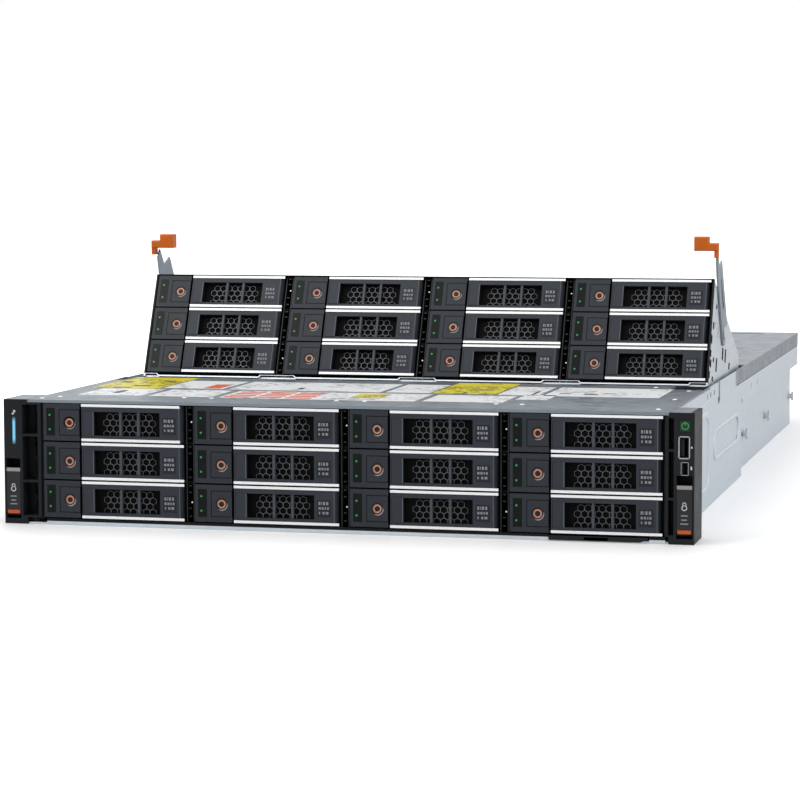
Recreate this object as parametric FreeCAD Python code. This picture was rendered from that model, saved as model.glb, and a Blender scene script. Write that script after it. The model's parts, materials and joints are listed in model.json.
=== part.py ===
import FreeCAD, Part
import math
import os

# A 2U storage server: twelve drives at the front, twelve more in a middle bay that tilts up
# between the front cover and the rear cover, and fans, board and power supplies behind it.
# Millimetres. X runs across the front, Y from the front face to the rear, Z up from the base.

V = FreeCAD.Vector

# ---- outer sizes ------------------------------------------------------------------------
EAR_SPAN = 482.0            # over both rack ears
HEIGHT = 86.8               # two rack units, less the gap to the unit above
BODY_WIDTH = 448.0          # over the front section and the rear band
BASE_WIDTH = 434.0          # over the rear lower walls, which run between the rails
BODY_DEPTH = 837.0          # front face to rear wall
EAR_DEPTH = 37.0            # front face to the face that meets the rack post
FRONT_SECTION_END = 394.0   # where the lower walls step in
SHOULDER_HEIGHT = 57.0      # underside of the rear band

# ---- sheet metal and fits -----------------------------------------------------------------
WALL = 1.0
FLOOR = 1.2
COVER = 1.2
CAGE_SHEET = 0.8
PLATE = 1.2                 # side plates of the middle bay
BOARD_THICKNESS = 1.6       # circuit boards
LID_GAP = 0.2               # under the covers
SLIDE_GAP = 0.3             # under anything that slides on a ledge
SIDE_GAP = 0.6              # beside anything that slides between walls
BAY_GAP = 0.5               # beside a power supply or a row of ports
PIN_FIT = 0.08              # radial clearance of a running pin
BUTTON_FIT = 0.25           # round a button
CUT = 1.0                   # how far a cutter passes the face it opens
PIN_SIDES = 16              # flats on bores, barrels, eyes and heads
FAN_SIDES = 12              # flats on a fan's hub
SHAFT_SIDES = 8             # flats in the bore for a fan's shaft

# ---- drive carrier ----------------------------------------------------------------------
COLUMNS = 4
ROWS = 3
COLUMN_PITCH = 109.9
ROW_PITCH = 26.8
BEZEL_WIDTH = 102.4
BEZEL_HEIGHT = 25.7
BEZEL_DEPTH = 12.0
CARRIER_EDGE = 0.6          # plate edge above the foot and below the top
RAIL_SHEET = 0.7
RAIL_LOW, RAIL_HIGH = 3.5, 19.5
RAIL_SHORT = 3.0            # rails end this far before the disk
DISK_WIDTH, DISK_HEIGHT, DISK_LENGTH = 101.6, 25.4, 147.0
DISK_START = 16.0           # disk behind the bezel face
PLUG_DEPTH, PLUG_HEIGHT = 6.0, 6.0
MODULE_WIDTH = 26.6         # fixed left part of the bezel, with the button
BUTTON_LEFT, BUTTON_WIDTH = 11.8, 14.6
BUTTON_LOW, BUTTON_HEIGHT = 4.0, 17.3
BUTTON_DEPTH = 8.0
BUTTON_TRAVEL = 2.0
CONE_X, CONE_Z = 19.0, 12.5
CONE_RADIUS, CONE_FLOOR_RADIUS, CONE_DEPTH = 4.4, 3.2, 1.2
LATCH_LEFT = 28.0
LATCH_SKIN = 3.2
LATCH_RETURN = 9.0          # how far the top and bottom flanges reach back
LATCH_FLANGE = 1.2
TRIM_HEIGHT = 1.8
TRIM_PROUD = 0.5
BAR_LEFT, BAR_RIGHT = 29.2, 37.0
WINDOW_RIGHT = 84.8
WINDOW_LOW, WINDOW_HIGH = 3.9, 20.5
LATCH_BEVEL = 3.2           # width of the slanted right end
LATCH_END = 0.7             # right end stands in, so that it clears the cage as it turns
LATCH_PIN_RADIUS = 1.4
LATCH_BARREL_RADIUS = 2.8
LATCH_WEB = 1.8             # web reaches this far past the pin
LATCH_RELIEF = 1.6          # flanges stop this far short of the lugs
LATCH_LUG = 2.2             # thickness of a lug
LATCH_PIN_INSET = 3.0       # pin axis from the right end of the bezel
LATCH_PIN_BACK = 6.2        # pin axis behind the bezel face

# ---- drive cages ------------------------------------------------------------------------
FRONT_GRID_LEFT = -212.0
FRONT_GRID_LOW = 5.0
FRONT_DRIVE_FACE = 1.0
MID_GRID_LEFT = -214.3
CAGE_FRONT = 2.0            # front edge of the cage walls behind the carrier face
LEDGE_START = 2.0           # ledges start this far behind the bezel
LEDGE_HEIGHT = 0.9
LEDGE_REACH = 0.3           # under the rails, inside the bezel's side
BRIDGE_START, BRIDGE_DEPTH = 1.0, 3.0
BRIDGE_LOW, BRIDGE_HIGH = 1.6, 0.6         # below and above the foot of a row
CONNECTOR_LEFT, CONNECTOR_WIDTH = 24.0, 42.0
CONNECTOR_HEIGHT = 5.5
CONNECTOR_INSET = 1.0       # narrower than the recess it enters, on either side
CONNECTOR_ENTRY = 4.0       # how far it enters the disk
BACKPLANE_GAP = 5.4         # disk's end to the board
AIR_LEFT, AIR_WIDTH = 72.0, 26.0
AIR_MARGIN = 4.0            # board left above and below an air window

# ---- information card under the fourth column -----------------------------------------------
TAG_LEFT, TAG_RIGHT = 146.0, 205.0
TAG_LENGTH = 70.0
TAG_SHEET = 1.4
TAG_GAP = 0.3
TAG_GUIDE = 1.0
TAG_SLOPE = 5.5
TAG_LIP_LOW = 0.5
TAG_LIP_LEFT = 1.5

# ---- middle bay, described closed and then tilted about its hinge --------------------------
TILT = 24.0
HINGE_Y, HINGE_Z = 411.0, 9.2
BAY_FACE = 206.0
BAY_BOTTOM, BAY_TOP = 2.2, 86.4
BAY_SHOULDER = 79.0         # height of the lower rear sheet
BAY_STEP = 4.0              # length of the slope between the two top sheets
BAY_REAR = 402.0
BAY_FOOT_END = 388.0        # rear end of the bottom sheet
BAY_DRIVE_INSET = 0.4
BAY_TAIL_LOW = 62.0         # underside of the side plate's tail
BAY_THROAT = ((-15.0, 46.0), (-9.0, 54.0))     # cut-away before the tail, from the foot's end
SIDE_HOLE_RADIUS = 1.6
SIDE_HOLE_Y = 226.8
SIDE_HOLE_Z = (15.0, 30.0, 58.4, 72.0)
SIDE_SLOTS = ((243.6, 58.1), (244.3, 32.1), (291.5, 56.5))
SIDE_SLOT_LENGTH, SIDE_SLOT_HEIGHT = 3.0, 10.0
LIP_RISE, LIP_SLOPE, LIP_THICK, LIP_DEPTH = 2.0, 2.0, 1.0, 3.0
LIP_DROP, LIP_LIFT = 8.0, 90.0                 # where the lip steps down and up in each column
BEAM_LIP, BEAM_FOOT, BEAM_TOP = 2.0, 8.0, 24.0
BAY_HINGE_PIN = 4.0
PIN_PAST_STRAP = 2.0
HINGE_STRAP_X = 206.0
HINGE_STRAP = 2.0
HINGE_EYE = 6.4
STRAP_ROOT, STRAP_TOP = 10.5, 26.0
STRAP_BROW = 6.0
MID_BOARD_LEFT, MID_BOARD_RIGHT = 212.0, 214.0

# ---- lift arms, described folded flat with the bay closed ----------------------------------
ARM_FOLD = 32.0
ARM_PIVOT_Y, ARM_PIVOT_Z = 267.3, 66.5
ARM_SHEET = 1.2
ARM_GAP = 0.3
ARM_PIN_RADIUS = 3.0
ARM_BOSS = 10.0
ARM_HEAD_RADIUS = 5.5
ARM_HEAD = 0.8
ARM_BACK = ((-55.0, 18.0), (2.0, 18.0))        # level top edge, from the pivot
ARM_NECK = ((-34.0, -8.0), (-60.0, -8.5), (-71.0, -5.0), (-73.5, 2.5), (-58.0, 4.0))
ARM_SLOT = (-46.0, -18.0, 3.0, 9.0)
ARM_TIP = (-72.3, -1.3)
GRIP_INSET = 20.0           # inner face of the grip from the bay's side plate
GRIP_BLOCK = 13.5
GRIP_BRIDGE = 0.55          # bridge height as a share of the block
GRIP_DEPTH = 10.0
GRIP_WRAP = 1.2             # round the blade
GRIP_RISE = 1.5             # block above the tip of the neck
GRIP_ROOT = 6.5
GRIP_ROOT_INSET = 1.5
GRIP_ROUND = 1.2

# ---- chassis ----------------------------------------------------------------------------
TRAY_START = 1.6            # front edge of the floor
WALL_START = 12.4
FRONT_LIP_START, FRONT_LIP_HEIGHT = 0.4, 4.2
FRONT_LIP_GAP = 2.0
HOOK_SLOT = ((257.0, 90.0), (260.5, 90.0), (260.5, 72.0), (258.5, 70.0), (253.5, 74.5), (257.0, 76.0))
FRONT_SLOT_Y, FRONT_SLOT_LOW, FRONT_SLOT_HIGH = (190.0, 206.0, 226.0), 78.0, 82.5
BAND_SLOT_Y, BAND_SLOT_LOW, BAND_SLOT_HIGH = (459.0, 501.0), 64.5, 69.5
WALL_SLOT = 2.2
PANEL_START, PANEL_END, PANEL_LOW, PANEL_HIGH = 226.0, 370.0, 33.0, 50.0
PANEL_DEPTH = 0.4
SKIRT_SEAT = 0.5            # band stops this far under and before the rear cover's skirt
VENT_WIDTH = 6.0
VENT_LOW, VENT_HIGH = 50.0, 76.0
VENT_LEFT, VENT_RIGHT, VENT_PITCH = -116.0, -14.0, 12.0
SIDE_VENTS = (142.0, 164.0, 186.0)
STANDOFF_RADIUS, STANDOFF_SIDES = 3.0, 6
STANDOFF_INSET = 10.0       # from the board's edges
STANDOFF_SIDE, STANDOFF_MIDDLE = 200.0, 112.0
STUD_Y = (463.0, 624.0, 828.0)
STUD_Z = 27.0
STUD_SHANK, STUD_HEAD = 2.5, 4.5
STUD_SHANK_LENGTH, STUD_HEAD_LENGTH = 2.4, 1.6
STUD_SHANK_SIDES = 8

# ---- covers -----------------------------------------------------------------------------
FRONT_COVER_START, FRONT_COVER_END = 0.8, 204.0
COVER_LIP_DEPTH, COVER_LIP_DROP = 1.4, 0.8
REAR_COVER_START = 421.0
SKIRT_START = 362.0
SKIRT_LOW = 75.0
SKIRT_SLOT_Y, SKIRT_SLOT_LOW, SKIRT_SLOT_HIGH, SKIRT_SLOT = (571.0, 692.0, 779.0), 79.0, 83.0, 2.4
GRIP_NOTCH_START = 175.0
GRIP_NOTCH_WIDTH = 25.0
TAIL_SHEET, TAIL_DROP = 0.8, 3.0
COVER_VENT_START, COVER_VENT_END = 813.0, 819.0
COVER_VENT_LENGTH, COVER_VENT_PITCH, COVER_VENT_SIDE = 30.0, 41.0, 205.0
BEAD_INNER, BEAD_OUTER, BEAD_START, BEAD_END, BEAD_DEPTH = 182.0, 213.0, 748.6, 750.0, 0.4
COVER_LATCH_Y = 545.0
COVER_LATCH_WIDTH = 60.0
COVER_LATCH_LENGTH = 32.0
COVER_LATCH_SHEET = 2.0
COVER_LATCH_GAP = 0.6
COVER_LATCH_PIN, COVER_LATCH_BARREL = 1.3, 2.4
COVER_LATCH_PIN_INSET, COVER_LATCH_PIN_DROP = 4.0, 1.2
COVER_WELL_DEPTH, COVER_WELL_WALL, COVER_WELL_FLOOR = 5.0, 2.0, 1.0
SCOOP_WIDTH, SCOOP_LENGTH = 24.0, 6.0

# ---- ears -------------------------------------------------------------------------------
PANEL_WIDTH = 13.0
FRAME_FRONT, FRAME_DEPTH = 0.4, 12.0       # slotted frame beside the drives
FRAME_LOW, FRAME_EDGE = 4.6, 1.2
FRAME_TOP = 84.4
SLOT_SIDE = 0.6             # wall between the slots and the panel
LEFT_SLOT_EDGE, RIGHT_SLOT_EDGE = 2.3, 1.8
LEVER_WIDTH = 10.2
LEVER_TOP = 39.0
LEVER_PIN_Z, LEVER_PIN_Y = 9.0, 4.6
LEVER_END_RADIUS = 4.4
LEVER_PIN_RADIUS = 1.4
LEVER_THICK = 5.8
LEVER_EDGE, LEVER_EDGE_LOW, LEVER_NECK = 3.0, 4.0, 8.0     # finger edge along the top
LEVER_GAP = 0.3
LEVER_FOOT_GAP = 1.0
RECESS_TOP = 45.5
RECESS_DEPTH = 14.0
SLOT_BARS = (29.8, 61.9)    # heights of the bars across the slots
SLOT_BAR = 1.6
ID_X, ID_BAR_WIDTH, ID_BAR_HEIGHT, ID_BAR_Z, ID_DEPTH = -233.6, 2.6, 19.3, 65.0, 5.0
POWER_X, POWER_BUTTON, POWER_BUTTON_Z, POWER_DEPTH = 234.7, 7.4, 78.1, 6.0
EAR_BUTTON_TRAVEL = 1.0
USB_X, USB_WIDTH, USB_HEIGHT, USB_Z = 234.2, 5.1, 12.5, 63.9
USB_DEPTH = 14.0
TONGUE_SIDE, TONGUE_END, TONGUE_FRONT = 0.5, 0.6, 1.0
SERVICE_X, SERVICE_WIDTH, SERVICE_HEIGHT, SERVICE_Z, SERVICE_DEPTH = 235.0, 3.0, 7.2, 50.0, 7.0

# ---- fans -------------------------------------------------------------------------------
FANS = 6
FAN_PITCH = 71.5
FAN_SIZE = 60.0
FAN_DEPTH = 38.0
FAN_FRONT = 440.0
FAN_BORE = 28.0
FAN_HUB = 12.5
FAN_TIP_GAP = 1.0
FAN_BLADES = 5
BLADE_CHORD, BLADE_ANGLE, BLADE_SHEET = 20.0, 40.0, 1.6
BLADE_MIDDLE = 19.0
FAN_SHAFT = 2.0
SHAFT_START = 8.0
MOTOR_PLATE = 4.0
STRUT = 3.0
HUB_START, HUB_END = 4.0, 5.0              # from the frame's front and rear

# ---- system board and what stands on it ------------------------------------------------------
STANDOFF = 5.0
BOARD_FRONT = 486.0
BOARD_REAR = 832.0
BOARD_NECK = 640.0          # where the board narrows between the supplies
BOARD_WIDTH, BOARD_NECK_WIDTH = 424.0, 246.0
SINK_SIDE = 88.0
SINK_START = 24.0
SINK_WIDTH, SINK_LENGTH, SINK_HEIGHT, SINK_BASE = 84.0, 104.0, 58.0, 5.0
SOCKET_WIDTH, SOCKET_LENGTH, SOCKET_HEIGHT = 76.0, 64.0, 6.0
SOCKET_START = 20.0         # behind the front of the heat sink
FINS = 9
FIN = 1.2
DIMM_LENGTH, DIMM_HEIGHT, DIMM_THICK = 133.0, 31.2, 1.2
DIMM_PITCH = 9.5
DIMMS_PER_BANK = 4
DIMM_BANKS = (-170.5, -3.5 * DIMM_PITCH, 0.5 * DIMM_PITCH, 142.0)
DIMM_START = 12.0
DIMM_SEAT = 1.0
DIMM_FIT = 0.1
STRIP_WIDTH, STRIP_HEIGHT, STRIP_END = 6.0, 5.0, 4.0
SHROUD_SIDE, SHROUD_SHEET, SHROUD_TOP = 206.0, 1.2, 76.0
SHROUD_START, SHROUD_END = 490.0, 638.0
PORTS_LEFT, PORTS_RIGHT, PORT_HEIGHT, PORT_MOUTH = -122.0, -18.0, 28.0, 14.0
JACK_X, JACK_WIDTH, JACK_DEPTH, JACK_HEIGHT = (-112.0, -94.0), 16.0, 22.0, 13.4
JACK_MOUTH, JACK_MOUTH_LOW, JACK_MOUTH_HIGH = 11.8, 2.6, 9.6
JACK_KEY, JACK_KEY_HIGH = 6.0, 11.6
STACK_X, STACK_WIDTH, STACK_DEPTH, STACK_HEIGHT = -72.8, 14.5, 18.0, 15.6
STACK_MOUTH, STACK_MOUTH_HEIGHT, STACK_LOW = 12.5, 5.1, (1.6, 9.0)
VIDEO_X, VIDEO_WIDTH, VIDEO_DEPTH, VIDEO_HEIGHT = -40.5, 31.0, 16.0, 12.5
VIDEO_TOP, VIDEO_FOOT, VIDEO_LOW, VIDEO_HIGH, VIDEO_MOUTH = 17.0, 14.0, 2.4, 10.6, 6.0

# ---- power supplies -----------------------------------------------------------------------
PSU_WIDTH, PSU_HEIGHT, PSU_LENGTH = 86.0, 40.0, 185.0
PSU_SIDE = 128.5            # inner side of a supply from the middle
PSU_PROUD = 1.0
PSU_HANDLE_REACH = 22.0
INLET_X, INLET_Z = 22.0, 15.0
INLET = ((-12.0, -9.5), (12.0, -9.5), (12.0, 4.0), (7.0, 9.0), (-7.0, 9.0), (-12.0, 4.0))
INLET_DEPTH = 16.0
INLET_BLADES = ((-7.0, -2.5), (0.0, 3.0), (7.0, -2.5))
BLADE_WIDTH, BLADE_HEIGHT, BLADE_LENGTH = 2.0, 4.0, 10.0
GRILLE_SLOTS, GRILLE_PITCH, GRILLE_WIDTH, GRILLE_DEPTH, GRILLE_EDGE = 5, 7.0, 4.0, 3.0, 6.0
GRILLE_RIGHT = 40.0
HANDLE_X, HANDLE_LEG, HANDLE_LEG_HEIGHT, HANDLE_EDGE = 40.0, 2.4, 4.0, 2.0
HANDLE_BAR, HANDLE_BAR_DEPTH = 4.4, 3.0
TAB_WIDTH, TAB_INSET, TAB_LOW, TAB_HIGH, TAB_REACH = 3.0, 1.0, 12.0, 28.0, 12.0

# ---- expansion slots ------------------------------------------------------------------------
SLOT_COUNT = 5
SLOT_PITCH = 20.3
SLOT_COVER_WIDTH = 18.4
SLOT_COVER_SHEET = 0.9
SLOT_LEFT = 0.0
SLOT_LOW, SLOT_TOP_GAP = 1.5, 5.0
SLOT_COVER_LOW, SLOT_COVER_TOP_GAP, SLOT_TAB = 2.0, 3.0, 8.0
SLOT_VENTS = ((20.0, 64.0),)
SLOT_VENT_EDGE = 5.5

# ---- worked out from the sizes above --------------------------------------------------------
HALF_BODY = BODY_WIDTH / 2
HALF_BASE = BASE_WIDTH / 2
HALF_EAR = EAR_SPAN / 2
LID = HEIGHT - COVER                       # underside of both covers
WALL_TOP = LID - LID_GAP
SKIRT_INNER = HALF_BODY - WALL
UPPER_WALL = SKIRT_INNER - LID_GAP         # outer face of the wall inside the skirt
BAND_TOP = SKIRT_LOW - SKIRT_SEAT
BAND_START = SKIRT_START - SKIRT_SEAT
DISK_LOW = (BEZEL_HEIGHT - DISK_HEIGHT) / 2
PLATE_FRONT = LATCH_RETURN + SLIDE_GAP     # carrier plate behind the latch
RAIL_INSET = (BEZEL_WIDTH - DISK_WIDTH) / 2
RAIL_OUT = RAIL_SHEET - RAIL_INSET         # rails stand out past the bezel's sides
DRIVE_END = DISK_START + DISK_LENGTH
BACKPLANE_FACE = DRIVE_END + BACKPLANE_GAP
TAG_HEIGHT = FLOOR + CAGE_SHEET + LID_GAP  # underside of the card
MID_DRIVE_FACE = BAY_FACE + BAY_DRIVE_INSET
BAY_TOP_END = MID_DRIVE_FACE + DRIVE_END + CAGE_SHEET    # the full height top sheet ends behind the disks
BAY_LEFT = MID_GRID_LEFT - RAIL_OUT - SIDE_GAP - PLATE
BAY_RIGHT = MID_GRID_LEFT + (COLUMNS - 1) * COLUMN_PITCH + BEZEL_WIDTH + RAIL_OUT + SIDE_GAP + PLATE
MID_GRID_LOW = BAY_TOP - CAGE_SHEET - LID_GAP - BEZEL_HEIGHT - (ROWS - 1) * ROW_PITCH
LEVER_MIDDLE = HALF_EAR - PANEL_WIDTH / 2
BOARD_TOP = FLOOR + STANDOFF + BOARD_THICKNESS
PSU_REAR = BODY_DEPTH + PSU_PROUD
PSU_LOW = FLOOR + SLIDE_GAP
OVERALL_DEPTH = PSU_REAR + PSU_HANDLE_REACH - PSU_PROUD
MIDDLE = V(0, OVERALL_DEPTH / 2, 0)        # the origin lies under the middle of the whole


# ---- small tools ------------------------------------------------------------------------
def block(x0, x1, y0, y1, z0, z1):
    return Part.makeBox(x1 - x0, y1 - y0, z1 - z0, V(x0, y0, z0))


def sided(side, inner, outer, y0, y1, z0, z1):
    """A block at these distances from the middle, on the side asked for."""
    x0, x1 = sorted((side * inner, side * outer))
    return block(x0, x1, y0, y1, z0, z1)


def sheet_of(points):
    return Part.Face(Part.makePolygon(points + points[:1]))


def across(outline, x0, x1):
    """A (y, z) outline carried along X."""
    return sheet_of([V(x0, y, z) for y, z in outline]).extrude(V(x1 - x0, 0, 0))


def along(outline, y0, y1):
    """An (x, z) outline carried along Y."""
    return sheet_of([V(x, y0, z) for x, z in outline]).extrude(V(0, y1 - y0, 0))


def upright(outline, z0, z1):
    """An (x, y) outline carried along Z."""
    return sheet_of([V(x, y, z0) for x, y in outline]).extrude(V(0, 0, z1 - z0))


def flats(u, w, radius, sides=PIN_SIDES):
    """Corners of a many-sided boss or hole: they lie on the circle."""
    turn = 2 * math.pi / sides
    return [(u + radius * math.sin((i + 0.5) * turn), w + radius * math.cos((i + 0.5) * turn))
            for i in range(sides)]


def bore_flats(u, w, radius, sides=PIN_SIDES):
    """Corners of a many-sided bore: its flats touch the circle, so a pin inside it turns freely."""
    return flats(u, w, (radius + PIN_FIT) / math.cos(math.pi / sides), sides)


def rod_x(x0, x1, y, z, radius):
    x0, x1 = sorted((x0, x1))
    return Part.makeCylinder(radius, x1 - x0, V(x0, y, z), V(1, 0, 0))


def rod_y(y0, y1, x, z, radius):
    return Part.makeCylinder(radius, y1 - y0, V(x, y0, z), V(0, 1, 0))


def rod_z(z0, z1, x, y, radius):
    return Part.makeCylinder(radius, z1 - z0, V(x, y, z0))


def offsets(u, w, points):
    return [(u + du, w + dw) for du, dw in points]


def fused(*shapes):
    return shapes[0].multiFuse(list(shapes[1:])).removeSplitter()


def cut(shape, *tools):
    return shape.cut(Part.makeCompound(list(tools)))


def at(shape, place):
    copy = shape.copy()
    copy.translate(place)
    return copy


def turned(shape, y, z, degrees):
    """A copy turned about an axis along X through (y, z)."""
    copy = shape.copy()
    copy.rotate(V(0, y, z), V(1, 0, 0), degrees)
    return copy


def raised(shape):
    """From the closed bay to the tilted one."""
    return turned(shape, HINGE_Y, HINGE_Z, -TILT)


def unfolded(shape):
    """From a folded arm to one that stands up for lifting."""
    return turned(shape, ARM_PIVOT_Y, ARM_PIVOT_Z, -ARM_FOLD)


def save(name, *solids):
    """One file for each named piece, or group of pieces."""
    shape = solids[0] if len(solids) == 1 else Part.makeCompound(list(solids))
    at(shape, MIDDLE * -1).exportStep("parts/" + name + ".step")


# ---- drive: x from the bezel's left edge, y from its face, z from its foot -------------------
def disk():
    """Hard disk, with a recess for the plug."""
    case = block(RAIL_INSET, BEZEL_WIDTH - RAIL_INSET, DISK_START, DRIVE_END, DISK_LOW, DISK_LOW + DISK_HEIGHT)
    plug = block(CONNECTOR_LEFT, CONNECTOR_LEFT + CONNECTOR_WIDTH, DRIVE_END - PLUG_DEPTH, DRIVE_END + CUT,
                 DISK_LOW - CUT, DISK_LOW + PLUG_HEIGHT)
    return cut(case, plug)


def carrier(hinged):
    """Bezel module, plate behind the latch and the two side rails, all one frame."""
    module = block(0, MODULE_WIDTH, 0, BEZEL_DEPTH, 0, BEZEL_HEIGHT)
    pocket = block(BUTTON_LEFT - BUTTON_FIT, MODULE_WIDTH + CUT, -CUT, BUTTON_DEPTH + BUTTON_TRAVEL + BUTTON_FIT,
                   BUTTON_LOW - BUTTON_FIT, BUTTON_LOW + BUTTON_HEIGHT + BUTTON_FIT)
    plate = block(MODULE_WIDTH - CUT, BEZEL_WIDTH, PLATE_FRONT, BEZEL_DEPTH, CARRIER_EDGE,
                  BEZEL_HEIGHT - CARRIER_EDGE)
    rails = [block(x, x + RAIL_SHEET, BEZEL_DEPTH, DRIVE_END - RAIL_SHORT, RAIL_LOW, RAIL_HIGH)
             for x in (-RAIL_OUT, BEZEL_WIDTH - RAIL_INSET)]
    frame = cut(fused(module, plate, *rails), pocket)
    return fused(frame, *latch_lugs()) if hinged else frame


def latch_lugs():
    """Two rounded lugs and the pin between them, at the right end of the carrier."""
    x, y, r = BEZEL_WIDTH - LATCH_PIN_INSET, LATCH_PIN_BACK, LATCH_BARREL_RADIUS
    low, high = CARRIER_EDGE, BEZEL_HEIGHT - CARRIER_EDGE
    pieces = [rod_z(low, high, x, y, LATCH_PIN_RADIUS)]
    for z in (low, high - LATCH_LUG):
        pieces += [upright(flats(x, y, r), z, z + LATCH_LUG),
                   block(x - r, x + r, y, PLATE_FRONT + RAIL_OUT, z, z + LATCH_LUG)]
    return pieces


def latch_handle(hinged):
    """Swing handle: a channel with trims along both edges, a raised bar, a window and a bevelled end."""
    top = BEZEL_HEIGHT
    outline = [(-TRIM_PROUD, 0), (LATCH_RETURN, 0), (LATCH_RETURN, LATCH_FLANGE), (LATCH_SKIN, LATCH_FLANGE),
               (LATCH_SKIN, top - LATCH_FLANGE), (LATCH_RETURN, top - LATCH_FLANGE), (LATCH_RETURN, top),
               (-TRIM_PROUD, top), (-TRIM_PROUD, top - TRIM_HEIGHT), (0, top - TRIM_HEIGHT), (0, TRIM_HEIGHT),
               (-TRIM_PROUD, TRIM_HEIGHT)]
    channel = across(outline, LATCH_LEFT, BEZEL_WIDTH)
    bar = block(BAR_LEFT, BAR_RIGHT, -TRIM_PROUD, CUT, WINDOW_LOW, WINDOW_HIGH)
    window = block(BAR_RIGHT, WINDOW_RIGHT, -CUT, LATCH_SKIN + CUT, WINDOW_LOW, WINDOW_HIGH)
    slant, end, past = BEZEL_WIDTH - LATCH_BEVEL, BEZEL_WIDTH - LATCH_END, BEZEL_WIDTH + CUT
    bevel = upright([(slant, -CUT), (slant, -TRIM_PROUD), (end, LATCH_SKIN), (end, LATCH_RETURN + CUT),
                     (past, LATCH_RETURN + CUT), (past, -CUT)], -CUT, top + CUT)
    handle = cut(fused(channel, bar), window, bevel)
    return on_hinge(handle) if hinged else handle


def on_hinge(handle):
    """The handle with its barrel between the lugs, and its flanges cut back beside them."""
    x, y, r = BEZEL_WIDTH - LATCH_PIN_INSET, LATCH_PIN_BACK, LATCH_BARREL_RADIUS
    low = CARRIER_EDGE + LATCH_LUG + SLIDE_GAP
    high = BEZEL_HEIGHT - low
    relief = block(x - r - LATCH_RELIEF, BEZEL_WIDTH + CUT, LATCH_SKIN, LATCH_RETURN + CUT, -CUT,
                   BEZEL_HEIGHT + CUT)
    barrel = upright(flats(x, y, r), low, high)
    web = block(x - r, x + LATCH_WEB, LATCH_SKIN - LATCH_END, y, low, high)
    bore = upright(bore_flats(x, y, LATCH_PIN_RADIUS), 0, BEZEL_HEIGHT)
    return cut(fused(cut(handle, relief), barrel, web), bore)


def release_button(dimpled):
    """Square button, with a tapered dimple where it is a piece of its own."""
    body = block(BUTTON_LEFT, BUTTON_LEFT + BUTTON_WIDTH, 0, BUTTON_DEPTH, BUTTON_LOW, BUTTON_LOW + BUTTON_HEIGHT)
    rings = [[V(x, y, z) for x, z in flats(CONE_X, CONE_Z, radius)]
             for y, radius in ((0, CONE_RADIUS), (CONE_DEPTH, CONE_FLOOR_RADIUS))]
    dimple = Part.makeLoft([Part.makePolygon(ring + ring[:1]) for ring in rings], True, True)
    return cut(body, dimple) if dimpled else body


def grid(left, low, face):
    """Where each carrier stands: rows from the top, columns from the left."""
    return [V(left + column * COLUMN_PITCH, face, low + row * ROW_PITCH)
            for row in reversed(range(ROWS)) for column in range(COLUMNS)]


def make_drives():
    """Both sets of twelve. The first one's latch and button are nodes of their own."""
    plain = [carrier(False), disk(), latch_handle(False), release_button(False)]
    first = [carrier(True), disk()]
    for number, place in enumerate(grid(FRONT_GRID_LEFT, FRONT_GRID_LOW, FRONT_DRIVE_FACE), 1):
        save("drive_front_%02d" % number, *[at(s, place) for s in (first if number == 1 else plain)])
        if number == 1:
            save("drive_latch_handle", at(latch_handle(True), place))
            save("drive_release_button", at(release_button(True), place))
    for number, place in enumerate(grid(MID_GRID_LEFT, MID_GRID_LOW, MID_DRIVE_FACE), 1):
        save("drive_mid_%02d" % number, *[raised(at(s, place)) for s in plain])


# ---- cages ------------------------------------------------------------------------------
def wall_pair(left, column):
    """Inner faces of the sheets beside one column of carriers."""
    x = left + column * COLUMN_PITCH
    return x - RAIL_OUT - SIDE_GAP, x + BEZEL_WIDTH + RAIL_OUT + SIDE_GAP


def ledges(x0, x1, low, y0, y1):
    """A ledge on either side of a column, under the rails of each row."""
    reach, lap = SIDE_GAP + RAIL_OUT + LEDGE_REACH, CAGE_SHEET / 2
    tops = [low + row * ROW_PITCH + RAIL_LOW - SLIDE_GAP for row in range(ROWS)]
    return [block(a, b, y0, y1, top - LEDGE_HEIGHT, top)
            for top in tops for a, b in ((x0 - lap, x0 + reach), (x1 - reach, x1 + lap))]


def bridges(x0, x1, low, y0):
    """Short cross pieces between the two sheets of a divider, one at the foot of each upper row."""
    feet = [low + row * ROW_PITCH for row in range(1, ROWS)]
    return [block(x0, x1, y0, y0 + BRIDGE_DEPTH, z - BRIDGE_LOW, z + BRIDGE_HIGH) for z in feet]


def lattice(left, low, face, z0, z1, outer_walls):
    """Sheets beside the columns, ledges under the carrier rails and bridges at each row."""
    start, end = face + CAGE_FRONT, face + DRIVE_END
    pieces = []
    for column in range(COLUMNS):
        x0, x1 = wall_pair(left, column)
        if column > 0 or outer_walls:
            pieces.append(block(x0 - CAGE_SHEET, x0, start, end, z0, z1))
        if column < COLUMNS - 1 or outer_walls:
            pieces.append(block(x1, x1 + CAGE_SHEET, start, end, z0, z1))
        pieces += ledges(x0, x1, low, face + BEZEL_DEPTH + LEDGE_START, end)
        if column < COLUMNS - 1:
            next_x0 = wall_pair(left, column + 1)[0]
            pieces += bridges(x1 + CAGE_SHEET / 2, next_x0 - CAGE_SHEET / 2, low, start + BRIDGE_START)
    return pieces


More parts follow.
